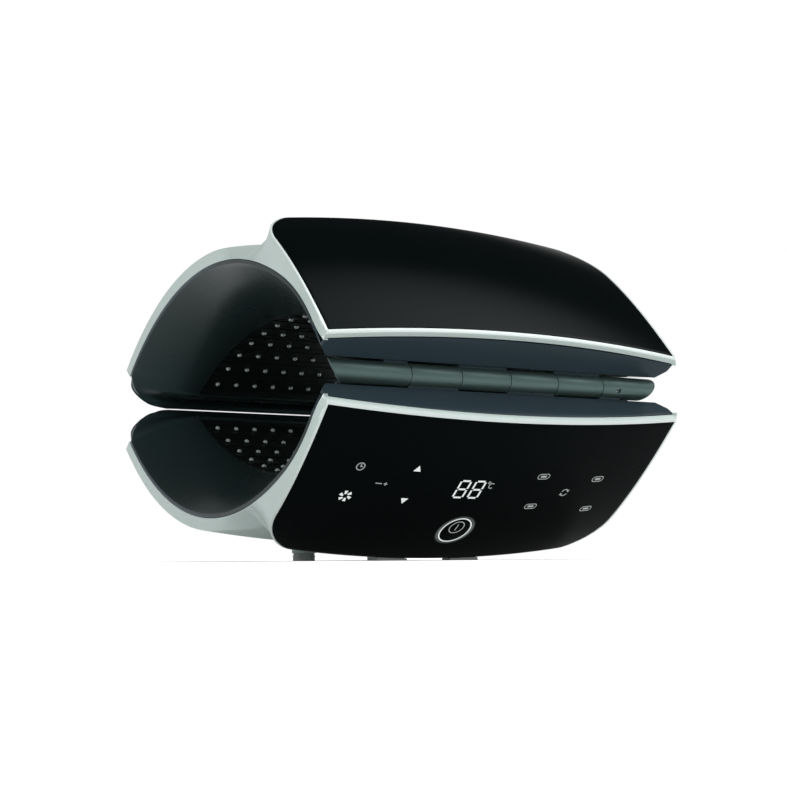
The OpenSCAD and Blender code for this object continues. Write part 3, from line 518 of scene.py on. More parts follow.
def cylinder(name: str, radius: float, depth: float, sides: int,
             along_x: bool = False) -> Object:
    """Adds a cylinder about the origin, in drawing millimetres.

    Args:
        name: The piece's name.
        radius: Radius of the cylinder.
        depth: Its whole length.
        sides: Number of steps round it.
        along_x: Whether it lies along X and doesn't stand along Z.

    Returns:
        The cylinder, with its turn in its mesh.
    """
    start()
    turn = math.pi / 2 if along_x else 0
    bpy.ops.mesh.primitive_cylinder_add(vertices=sides, radius=radius, depth=depth,
                                        rotation=(0, turn, 0))
    obj = named(name)
    if along_x:
        bpy.ops.object.transform_apply(location=False, rotation=True, scale=False)
    return obj


def pressed(name: str, outer: Points, inner: Points) -> Object:
    """Presses a flat blank between two skins.

    The blank is a grid that is extruded once, so that it has two faces joined round its border.

    Args:
        name: The piece's name.
        outer: Rows by columns of points, in metres, for the visible face.
        inner: The same for the hidden face.

    Returns:
        A closed piece.
    """
    rows, cols = outer.shape[:2]
    start()
    bpy.ops.mesh.primitive_grid_add(x_subdivisions=cols - 1, y_subdivisions=rows - 1, size=1)
    obj = named(name)
    bpy.ops.object.mode_set(mode="EDIT")
    bpy.ops.mesh.select_all(action="SELECT")
    bpy.ops.mesh.extrude_region_move(TRANSFORM_OT_translate={"value": (0, 0, -1)})
    bpy.ops.object.mode_set(mode="OBJECT")
    flat = corners(obj)
    col = np.rint((flat[:, 0] + 0.5) * (cols - 1)).astype(int)
    row = np.rint((flat[:, 1] + 0.5) * (rows - 1)).astype(int)
    below = flat[:, 2] < -0.5
    place_corners(obj, np.where(below[:, None], inner[row, col], outer[row, col]))
    face_out(obj)
    return obj


def softened_copy(node: str, name: str, width_mm: float, angle: float = 35.0) -> Object:
    """Copies a node of the frame, with its flat faces made whole and its edges rounded.

    Args:
        node: The node's name.
        name: The new piece's name.
        width_mm: Width of the rounding.
        angle: The least angle of an edge that is rounded.

    Returns:
        The copy, which stands for the node.
    """
    start()
    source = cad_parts[node]
    obj = bpy.data.objects.new(name, source.data.copy())
    bpy.context.scene.collection.objects.link(obj)
    obj.data.name = name
    pick(obj)
    bpy.ops.object.mode_set(mode="EDIT")
    bpy.ops.mesh.select_all(action="SELECT")
    bpy.ops.mesh.remove_doubles(threshold=MERGE_MM * MM)
    bpy.ops.mesh.customdata_custom_splitnormals_clear()
    bpy.ops.mesh.dissolve_limited(angle_limit=math.radians(FLAT_DEGREES))
    bpy.ops.object.mode_set(mode="OBJECT")
    if width_mm:
        soften(obj, width_mm, angle, 2)
    smooth(obj)
    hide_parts(node)
    return obj


# ---- The lamp's form ----


@dataclass(frozen=True)
class LampForm:
    """Sizes and surfaces that the covers share, in millimetres.

    X runs along the hinge, Y from the front edge to the rear and Z out from the parting plane.
    """

    panel_front_half: float = 132.0
    panel_ridge_half: float = 128.0
    slope_run: float = 84.8
    front_z: float = 21.0
    slope_top_z: float = 97.3
    slope_bow: tuple[float, float] = (2.7, 9.3)
    ridge_r: float = 7.0
    corner_along: float = 38.0
    corner_up: float = 34.0
    panel_t: float = 2.0
    crown_ridge: float = 9.1
    crown_front: float = 6.3
    crown_forward: float = 5.9
    crown_rear: float = 3.0
    arch_y: float = 157.0
    arch_r: float = 262.0
    arch_top: float = 89.2
    rear_y: float = 325.0
    rim_w: float = 8.0
    rim_tip_r: float = 122.0
    end_half_front: float = 137.5
    end_slope: float = 0.135
    corner_r: float = 26.0
    half_gap: float = 0.4
    wall: float = 2.6
    end_wall: float = 3.0
    tray_t: float = 2.3
    tray_lip: float = 2.7
    fit: float = 0.3
    strip_w: float = 1.6
    bed_y: float = 155.2
    bed_r: float = 190.0
    bed_top: float = 51.5
    bed_half: float = 60.0
    bed_t: float = 2.2
    rib_h: float = 1.4
    land_z: float = 8.0
    hinge_y: float = 15.8
    stand_z: float = 108.4
    longest_half: float = 136.35
    top_z: float = 107.155
    middle_y: float = 159.2
    ridge_angles: tuple[float, float, float] = (27.0, -10.0, -48.0)
    notch_r: float = 14.0
    tip_a: float = 24.9
    shoulder_run: float = 30.0
    corner_play: float = 0.05
    ridge_start: float = 26.0
    slope_steps: int = 240
    ridge_steps: int = 24
    ridge_back_steps: int = 20
    notch_steps: int = 24
    arch_steps: int = 120

    @property
    def arch_cz(self) -> float:
        """Height of the arch's centre."""
        return self.arch_top - self.arch_r

    @property
    def bed_cz(self) -> float:
        """Height of the bed's centre."""
        return self.bed_top - self.bed_r

    def seat(self, points: Points, half: Half) -> Points:
        """Turns points of a half into metres in the lamp's own frame.

        Args:
            points: Rows of x, y and z in millimetres.
            half: The half that the points belong to.

        Returns:
            Rows of points in metres.
        """
        out = np.array(points, dtype=float)
        out[..., 2] = np.minimum(out[..., 2], self.top_z)
        out[..., 1] -= self.middle_y
        out[..., 2] = out[..., 2] * half.value + self.stand_z
        return out * MM

    def slope(self, t: Points) -> Points:
        """Returns the slope's profile at shares t of its run.

        Args:
            t: Shares of the slope's run, from 0 at the front.

        Returns:
            Rows of y and z.
        """
        t = np.asarray(t, dtype=float)
        bow = 4 * t * (1 - t)
        return np.stack([self.slope_run * t + self.slope_bow[0] * bow,
                         self.front_z + (self.slope_top_z - self.front_z) * t
                         + self.slope_bow[1] * bow], -1)

    def ridge(self, degrees: Points) -> Points:
        """Returns the rounded ridge's profile at headings in degrees.

        Args:
            degrees: Headings of the profile, falling from front to back.

        Returns:
            Rows of y and z.
        """
        h, h0 = np.radians(degrees), math.radians(self.ridge_angles[0])
        return self.slope(1.0) + self.ridge_r * np.stack(
            [math.sin(h0) - np.sin(h), np.cos(h) - math.cos(h0)], -1)

    def arch(self, radians: Points, radius: Any) -> Points:
        """Returns points of an arch about the outer arch's centre."""
        return np.stack([self.arch_y + radius * np.sin(radians),
                         self.arch_cz + radius * np.cos(radians)], -1)

    def bed(self, radians: Any, radius: float) -> Points:
        """Returns points of an arch about the bed's centre."""
        return np.stack([self.bed_y + radius * np.sin(radians),
                         self.bed_cz + radius * np.cos(radians)], -1)

    @property
    def far_y(self) -> float:
        """Depth of the cover panel's far edge."""
        return float(self.ridge(self.ridge_angles[1])[0])

    @property
    def rear_a(self) -> float:
        """Angle of the arch's rear edge."""
        return math.asin((self.rear_y - self.arch_y) / self.arch_r)

    def panel_line(self) -> Points:
        """Returns the profile under the cover panel.

        Returns:
            Rows of y and z, closely spaced.
        """
        turn = np.linspace(self.ridge_start, self.ridge_angles[1], self.ridge_steps)
        return np.concatenate([self.slope(np.linspace(0, 1, self.slope_steps)),
                               self.ridge(turn)])

    def back_line(self) -> Points:
        """Returns the profile from the panel's far edge over the notch and the arch.

        Returns:
            Rows of y and z, closely spaced.
        """
        back = math.radians(self.ridge_angles[2])
        end = self.ridge(self.ridge_angles[2])
        w = end + self.notch_r * np.array([-math.sin(back), math.cos(back)]) \
            - np.array([self.arch_y, self.arch_cz])
        way = np.array([math.cos(back), math.sin(back)])
        d = float(w @ way)
        root = math.sqrt(d * d - float(w @ w) + (self.arch_r + self.notch_r) ** 2)
        run = -d - root if -d - root > 0 else -d + root
        centre = w + run * way
        notch_a = math.atan2(centre[0], centre[1])
        h = np.linspace(back, -notch_a, self.notch_steps)
        notch = centre + np.array([self.arch_y, self.arch_cz]) \
            + self.notch_r * np.stack([np.sin(h), -np.cos(h)], -1)
        turn = np.linspace(*self.ridge_angles[1:], self.ridge_back_steps)
        rise = np.linspace(notch_a, self.rear_a, self.arch_steps)
        return np.concatenate([self.ridge(turn)[1:], notch, self.arch(rise, self.arch_r)[1:]])

    def end_half(self, y: Points) -> Points:
        """Returns the half length of the lamp's end faces at depth y."""
        return self.end_half_front - self.end_slope * np.asarray(y, dtype=float)

    def square_half(self, y: Points) -> Points:
        """Returns the half length of the outer surface, its ridge corners left square.

        Args:
            y: Depths.

        Returns:
            A half length for each depth.
        """
        y = np.asarray(y, dtype=float)
        shoulder = self.arch_y - self.shoulder_run
        front = self.panel_front_half + (self.panel_ridge_half - self.panel_front_half) \
            * np.clip(y, 0, None) / self.slope_run + self.strip_w
        f = (y - self.slope_run) / (shoulder - self.slope_run)
        middle = (self.panel_ridge_half + self.strip_w) * (1 - f) + self.end_half(shoulder) * f
        return np.where(y < self.slope_run, front, np.where(y < shoulder, middle,
                                                            self.end_half(y)))

    def crowned(self, p: Points, x: Points) -> Points:
        """Places profile points at x, with the crown of their depth.

        Args:
            p: Rows of y and z.
            x: Places along the lamp.

        Returns:
            Rows of x, y and z.
        """
        y, z = p[..., 0], p[..., 1]
        u = np.clip(np.abs(x) / self.square_half(y), 0, 1)
        k = 1 - u * u
        s = np.clip(y / self.slope_run, 0, 1)
        r = np.clip((y - self.far_y) / (self.rear_y - self.far_y), 0, 1)
        rise = np.where(y < self.far_y, self.crown_front + (self.crown_ridge - self.crown_front)
                        * s, self.crown_ridge + (self.crown_rear - self.crown_ridge) * r * r)
        return np.stack([x + 0 * y, y - self.crown_forward * (1 - s) * k, z + k * rise], -1)

    def corner_inset(self, z: Points) -> Points:
        """Returns how far the end's corner is rounded back at height z.

        Args:
            z: Heights over the parting plane.

        Returns:
            An inset for each height.
        """
        d = self.corner_r - np.clip(z, self.half_gap, None) + self.half_gap
        safe = np.clip(self.corner_r ** 2 - d * d, 0, None)
        return np.where(z < self.corner_r, self.corner_r - np.sqrt(safe), 0.0)

    def rim_half(self, p: Points) -> Points:
        """Returns the half length of the rim at a profile point."""
        return np.minimum(self.end_half(p[..., 0]) - self.corner_inset(p[..., 1]),
                          self.longest_half)

    def rim(self, y: Points, inset: float = 0.0) -> Points:
        """Returns the open end's rim at depth y, drawn in by an inset.

        Args:
            y: Depths.
            inset: How far the line lies inside the rim.

        Returns:
            Rows of y and z.
        """
        y = np.asarray(y, dtype=float)
        rim_r = self.arch_r - self.rim_w
        a = np.arcsin(np.clip((self.arch_y - y) / rim_r, -1, 1))
        tip = math.radians(self.tip_a)
        c = self.arch(np.array(-tip), rim_r - self.rim_tip_r)
        b = np.arcsin(np.clip((c[0] - y) / self.rim_tip_r, -1, 1))
        tight = c + (self.rim_tip_r - inset) * np.stack([-np.sin(b), np.cos(b)], -1)
        return np.where((a < tip)[..., None], self.arch(-a, rim_r - inset), tight)

    def corner_loss(self, d: Points) -> Points:
        """Returns the loss of half length at distance d from the panel's far edge."""
        f = np.clip((self.corner_up - d) / self.corner_up, 0, 1)
        return self.corner_along * (1 - np.sqrt(1 - f * f))

    def panel_half(self, line: "Line", s: Points, shift: float = 0.0) -> Points:
        """Returns the cover panel's half length at distances s along its profile."""
        return self.square_half(line.at(s)[..., 0]) - self.strip_w - self.corner_loss(
            np.clip(line.length - s - shift, 0, None) + self.corner_play)


class Line:
    """A profile that is read by the distance along it."""

    # Half the stretch over which the profile's direction is measured.
    stretch = 0.4

    def __init__(self, points: Points) -> None:
        """Keeps the points and measures the way along them.

        Args:
            points: Rows of y and z.
        """
        self.points = points
        self.ways = np.concatenate([[0], np.cumsum(np.linalg.norm(np.diff(points, axis=0),
                                                                  axis=1))])

    @property
    def length(self) -> float:
        """The profile's whole length."""
        return float(self.ways[-1])

    def at(self, s: Points) -> Points:
        """Returns the points at distances s."""
        return np.stack([np.interp(s, self.ways, self.points[:, i]) for i in (0, 1)], -1)

    def inward(self, s: Points, d: float) -> Points:
        """Returns the points at distances s, moved square to the profile by d.

        Args:
            s: Distances along the profile.
            d: How far the points move.

        Returns:
            Rows of y and z.
        """
        s = np.asarray(s, dtype=float)
        way = self.at(np.clip(s + self.stretch, 0, self.length)) \
            - self.at(np.clip(s - self.stretch, 0, self.length))
        way /= np.linalg.norm(way, axis=-1, keepdims=True)
        return self.at(s) + d * np.stack([way[..., 1], -way[..., 0]], -1)


FORM = LampForm()
# Columns of points from an end of a cover to its middle, and how far they crowd at the end.
FIELD_COLUMNS = 26
FIELD_CROWDING = 1.25
# Steps round the power key and its hole.
KEY_SIDES = 128
PANEL_LINE = Line(FORM.panel_line())
BACK_LINE = Line(FORM.back_line())


def wide(left: Points) -> Points:
    """Mirrors rows of points from the left end to the middle over to the right end.

    Args:
        left: Rows by columns of points, the last column at the middle.

    Returns:
        The same with the right end's columns after them.
    """
    right = left[:, -2::-1].copy()
    right[..., 0] *= -1
    return np.concatenate([left, right], 1)


def between(a: Points, b: Points, count: int) -> Points:
    """Returns count points from a up to, and without, b, along a new second axis."""
    f = np.linspace(0, 1, count, endpoint=False)[None, :, None]
    return a[:, None] * (1 - f) + b[:, None] * f


def spread() -> Points:
    """Returns shares from 1 at the end to 0 at the middle, closer together at the end."""
    return 1 - np.linspace(0, 1, FIELD_COLUMNS) ** FIELD_CROWDING


def eased(at: Points, knots: Sequence[float], values: Sequence[float],
          width: float = 2.4, samples: int = 9) -> Points:
    """Reads a table at given places, with its kinks rounded over a width.

    Args:
        at: Places to read the table at.
        knots: Places of the table.
        values: Values of the table.
        width: Half the width of the rounding.
        samples: Number of readings whose mean is the rounded value.

    Returns:
        A value for each place.
    """
    places = [np.interp(np.clip(at + d, 0, None), knots, values)
              for d in np.linspace(-width, width, samples)]
    near = np.clip(at / width, 0, 1)
    return np.interp(at, knots, values) * (1 - near) + np.mean(places, axis=0) * near


def panel_stations(step: float = 3.2, turn_rows: int = 26) -> Points:
    """Returns distances along the panel's profile, close together at its rounded corners.

    Args:
        step: Distance between rows where the panel's ends are straight.
        turn_rows: Number of rows round a corner.

    Returns:
        Distances from the front edge to the far edge.
    """
    top = PANEL_LINE.length
    plain = np.linspace(0, top - FORM.corner_up, round((top - FORM.corner_up) / step) + 1)[:-1]
    angles = np.radians(np.linspace(90, 0, turn_rows))
    turn = top - FORM.corner_up * (1 - np.cos(angles))
    return np.concatenate([plain, turn])


# ---- Covers ----


@dataclass
class CoverPanel:
    """A glossy cover panel that wraps over the ridge, with two rounded corners."""

    half: Half
    node: str
    thickness: float = FORM.panel_t
    edge_mm: float = 0.4
    crease: float = 50.0
    hole_at: float = 0.69
    hole_r: float = 11.7
    hole_depth: float = 8.0

    def build(self) -> Object:
        """Presses the panel, opens it for the power key and polishes its edge.

        Returns:
            The finished panel.
        """
        s = panel_stations()
        s = np.where(s == 0, FORM.fit, s)
        half = FORM.panel_half(PANEL_LINE, s) - FORM.fit
        x = -half[:, None] * spread()[None]
        skins = [wide(FORM.crowned(p[:, None], x)) for p in
                 (PANEL_LINE.at(s), PANEL_LINE.inward(s, self.thickness))]
        obj = pressed(self.node + "_skin", *[FORM.seat(k, self.half) for k in skins])
        if self.half is Half.BASE:
            cut(obj, self.key_cutter())
        soften(obj, self.edge_mm, self.crease)
        smooth(obj)
        return self.finish(obj)

    def key_cutter(self) -> Object:
        """Returns a cylinder that stands through the panel at the power key.

        Returns:
            The cylinder.
        """
        tool = cylinder("key_cutter", self.hole_r, self.hole_depth, KEY_SIDES)
        place_corners(tool, wrapped(corners(tool), (0.0, slope_way(self.hole_at)), Half.BASE))
        face_out(tool)
        return tool

    def finish(self, obj: Object) -> Object:
        """Dresses the panel and lets it ride with its half.

        Args:
            obj: The panel.

        Returns:
            The same panel.
        """
        dress(obj, GLOSS_BLACK if self.half is Half.LID else TOUCH_BLACK)
        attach(obj, self.half.name.lower())
        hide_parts(self.node)
        return obj


def slope_way(t: float, steps: int = 60) -> float:
    """Returns the distance along the panel's profile at a share t of the slope."""
    return float(Line(FORM.slope(np.linspace(0, t, steps))).length)


def wrapped(flat: Points, middle: tuple[float, float], half: Half) -> Points:
    """Wraps flat millimetre drawings onto the crowned panel.

    Args:
        flat: Rows of x along the lamp, y up the slope and z out of the panel.
        middle: Place of the drawing's origin, as x and the distance along the profile.
        half: The half that carries the panel.

    Returns:
        Rows of points in metres.
    """
    x, s = flat[:, 0] + middle[0], flat[:, 1] + middle[1]

    def skin(a: Points, b: Points) -> Points:
        """Returns the panel's surface at x of a and the distance b along the profile."""
        return FORM.crowned(PANEL_LINE.at(b), a)

    here = skin(x, s)
    # Half the stretches over which the panel's two directions are measured.
    dx, ds = 0.5, 1.0
    out = np.cross(skin(x + dx, s) - skin(x - dx, s), skin(x, s + ds) - skin(x, s - ds))
    out /= np.linalg.norm(out, axis=1, keepdims=True)
    return FORM.seat(here + out * flat[:, 2:3], half)


@dataclass
class OuterShell:
    """A silver outer shell: trim, slanted end faces, the concave notch and the arch."""

    half: Half
    node: str
    step_w: float = 0.15
    seat_play: float = 0.2
    corner_wall: float = 13.0
    vent_count: int = 9
    vent_pitch: float = 5.0
    vent_w: float = 2.4
    vent_len: float = 40.0
    vent_at: tuple[float, float] = (166.0, 90.0)
    vent_sides: int = 24
    edge_mm: float = 0.55
    crease: float = 32.0
    land_columns: int = 6
    # The front trim, from its lower edge up to the panel: outside, inside and depth of the rim.
    trim: tuple[tuple[float, float], ...] = ((1.1, 16.2), (-0.7, 18.5), (-0.05, 20.9))
    trim_back: tuple[tuple[float, float], ...] = ((2.4, 17.2), (2.6, 17.7), (3.0, 18.4))
    trim_rims: tuple[float, ...] = (0.2, 1.4, 2.9)
    trim_taper: float = 0.2
    panel_root: tuple[float, float] = (3.6, 19.2)
    # Depths of the rim beside the panel's front edge, its far edge and the first row behind it.
    rim_depths: tuple[float, float, float] = (4.7, 99.0, 99.5)
    rim_run: float = 30.0
    rim_end: float = 318.6
    # Distances behind the panel's far edge of the first row and of the end of the close rows.
    back_ways: tuple[float, float] = (0.4, 42.0)
    back_rows: tuple[int, int] = (34, 72)
    # Distances behind the panel over which the wall thins from the panel's seat to the arch.
    wall_ways: tuple[float, ...] = (0, 0.4, 3, 8)
    # Faces of the bright strip: how far behind the panel they end, and how far they face up.
    strip_behind: float = 0.4
    strip_up: float = 0.45
    # Faces of the bright trim: how deep and how high they lie, and how far they face each way.
    trim_depth: float = 3.5
    trim_rise: float = 2.0
    trim_ahead: float = 0.3
    trim_down: float = 0.35
    trim_side: float = 0.6
    # Share of the corner's loss that is left at distances behind the panel, outside and inside.
    loss_ways: tuple[float, ...] = (0, 0.24, 2.2, 4.6, 8.7, 12.8, 27, 36, 46, 56, 68)
    loss_left: tuple[float, ...] = (1, 1, 0.82, 0.63, 0.54, 0.5, 0.46, 0.36, 0.2, 0.07, 0)
    inner_ways: tuple[float, ...] = (0, 2.2, 4.6, 12.8, 27, 46, 68)
    inner_more: tuple[float, ...] = (0.03, 0.2, 0.33, 0.38, 0.3, 0.15, 0.02)

    def profile_rows(self) -> dict[str, Points]:
        """Lists the shell's rows from the trim's lower edge to the rear edge.

        Returns:
            Arrays of outer, inner, seat and rim points, and of the three half lengths.
        """
        f = FORM
        seat_d = f.panel_t + self.seat_play
        s = panel_stations()
        path = PANEL_LINE.at(s)
        half = f.panel_half(PANEL_LINE, s)
        inner = PANEL_LINE.inward(s, seat_d + f.wall)
        inner[0] = self.panel_root
        rim_front, rim_ridge, rim_back = self.rim_depths
        rim_y = rim_front + (rim_ridge - rim_front) * path[:, 0] / f.far_y
        ihalf = f.panel_half(PANEL_LINE, s, self.corner_wall) + f.strip_w
        trim_half = f.panel_front_half + f.strip_w - self.trim_taper * np.arange(len(self.trim))
        start_way, turn_way = self.back_ways
        close, wider = self.back_rows
        b = np.concatenate([np.linspace(start_way, turn_way, close),
                            np.linspace(turn_way, BACK_LINE.length, wider)[1:]])
        back = BACK_LINE.at(b)
        full = f.square_half(back[:, 0])
        loss = float(f.corner_loss(f.corner_play))
        share = eased(b, self.loss_ways, self.loss_left)
        ishare = share + eased(b, self.inner_ways, self.inner_more)
        back_half = full - loss * share
        deep = np.interp(b, self.wall_ways,
                         [seat_d + f.wall, seat_d + f.wall, f.wall + 1, f.wall])
        way = BACK_LINE.inward(b, 1.0) - back
        meets = f.far_y + self.rim_run
        back_rim = np.where(back[:, 0] < meets, rim_back + (meets - rim_back)
                            * (back[:, 0] - f.far_y) / self.rim_run, back[:, 0])
        rim = np.concatenate([self.trim_rims, rim_y, back_rim])
        return {
            "outer": np.concatenate([self.trim, path, back]),
            "inner": np.concatenate([self.trim_back, inner, back + way * deep[:, None]]),
            "seat": np.concatenate([self.trim, PANEL_LINE.inward(s, seat_d), back]),
            "rim": f.rim(np.minimum(rim, self.rim_end)),
            "half": np.concatenate([trim_half, half + f.strip_w, back_half]),
            "strip": np.concatenate([trim_half - f.strip_w, half, back_half - f.strip_w]),
            "ihalf": np.concatenate([trim_half, ihalf, full - loss * ishare]) - f.end_wall}

    def build(self) -> Object:
        """Presses the shell, cuts its vents and rounds its edges.

        Returns:
            The finished shell.
        """
        r = self.profile_rows()
        rh = FORM.rim_half(r["rim"])
        column = [r[k][:, None] for k in ("outer", "seat", "inner")]
        u = spread()[None]
        skins = []
        for edge, middle, edge_x, strip_x, rim_x in (
                (column[0], column[1], r["half"], r["strip"], rh),
                (column[2], column[2], r["ihalf"], r["ihalf"] - FORM.strip_w,
                 rh - FORM.end_wall)):
            rim = np.concatenate([-rim_x[:, None], r["rim"]], 1)
            border = FORM.crowned(edge, -edge_x[:, None])
            strip = FORM.crowned(edge, -strip_x[:, None])
            field_x = (strip_x - self.step_w)[:, None] * u
            skins.append(wide(np.concatenate([
                between(rim, border[:, 0], self.land_columns), border, strip,
                FORM.crowned(middle, -field_x)], 1)))
        obj = pressed(self.node + "_skin", *[FORM.seat(k, self.half) for k in skins])
        soften(obj, self.edge_mm, self.crease)
        cut(obj, self.vent_cutter())
        self.extras(obj)
        smooth(obj, self.crease)
        return self.finish(obj)

    def vent_cutter(self) -> Object:
        """Returns a row of round-ended bars that stand through the arch.

        Returns:
            The bars as one tool.
        """
        bars = []
        for k in range(self.vent_count):
            bar = cylinder("vent_cutter", self.vent_w / 2, self.vent_len, self.vent_sides)
            p = corners(bar)
            p[:, 1] += np.where(p[:, 1] > 0, self.vent_len / 2, -self.vent_len / 2)
            p += ((k - (self.vent_count - 1) / 2) * self.vent_pitch, *self.vent_at)
            place_corners(bar, FORM.seat(p, self.half))
            bars.append(bar)
        tool = join(bars, "vent_cutter")
        face_out(tool)
        return tool

    def extras(self, obj: Object) -> None:
        """Adds what only one of the two shells has."""

    def cut_edge(self, obj: Object) -> Points:
        """Returns which faces belong to the bright strip next to the cover panel.

        Args:
            obj: The shell.

        Returns:
            A mask over the shell's faces.
        """
        f = FORM
        at = face_data(obj, "center") / MM + (0, f.middle_y, -f.stand_z)
        out = face_data(obj, "normal")
        at[:, 2] *= self.half.value
        out[:, 2] *= self.half.value
        s = np.interp(at[:, 1], PANEL_LINE.points[:, 0], PANEL_LINE.ways)
        middle = f.panel_half(PANEL_LINE, s) + f.strip_w / 2
        in_strip = np.abs(np.abs(at[:, 0]) - middle) < f.strip_w / 2 + f.fit
        beside = (at[:, 1] > 0) & (at[:, 1] < f.far_y + self.strip_behind) & in_strip \
            & (out[:, 2] > self.strip_up)
        in_trim = (at[:, 1] < self.trim_depth) \
            & (at[:, 2] < f.front_z + f.crown_front + self.trim_rise)
        ahead = (out[:, 1] < -self.trim_ahead) & (out[:, 2] > -self.trim_down) \
            & (np.abs(out[:, 0]) < self.trim_side)
        return beside | in_trim & ahead

    def finish(self, obj: Object) -> Object:
        """Dresses the shell and lets it ride with its half.

        Args:
            obj: The shell.

        Returns:
            The same shell.
        """
        dress(obj, SATIN_SILVER)
        dress_faces(obj, CUT_EDGE, self.cut_edge(obj))
        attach(obj, self.half.name.lower())
        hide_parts(self.node)
        return obj


@dataclass
class BaseShell(OuterShell):
    """The lower shell, with its inlet and the posts of its rear feet."""

    inlet_at: tuple[float, float, float] = (127.0, 68.0, 72.7)
    inlet_r: float = 4.65
    inlet_depth: float = 14.0
    inlet_sides: int = 64
    foot_at: tuple[float, float] = (30.0, 188.0)
    foot_r: float = 8.0
    foot_top: float = 103.4
    foot_depth: float = 15.0
    foot_edge_mm: float = 0.4
    foot_crease: float = 40.0
    foot_sides: int = 96

    def extras(self, obj: Object) -> None:
        """Opens the inlet and joins the two foot posts on.

        Args:
            obj: The shell.
        """
        tool = cylinder("inlet_cutter", self.inlet_r, self.inlet_depth, self.inlet_sides,
                        along_x=True)
        place_corners(tool, FORM.seat(corners(tool) + self.inlet_at, self.half))
        face_out(tool)
        cut(obj, tool)
        for side in (-1, 1):
            post = cylinder("foot_post", self.foot_r, self.foot_depth, self.foot_sides)
            middle = (side * self.foot_at[0], self.foot_at[1], self.foot_top - self.foot_depth / 2)
            place_corners(post, FORM.seat(corners(post) + middle, self.half))
            face_out(post)
            soften(post, self.foot_edge_mm, self.foot_crease)
            cut(obj, post, "UNION")


@dataclass(frozen=True)
class TrayRow:
    """One row along a tray, as pairs of a visible and a hidden profile point.

    The pairs stand at the open end, at the edge of the lamp bed and at the bed itself.
    """

    end: tuple[Points, Points]
    edge: tuple[Points, Points]
    bed: tuple[Points, Points]
    crown: bool


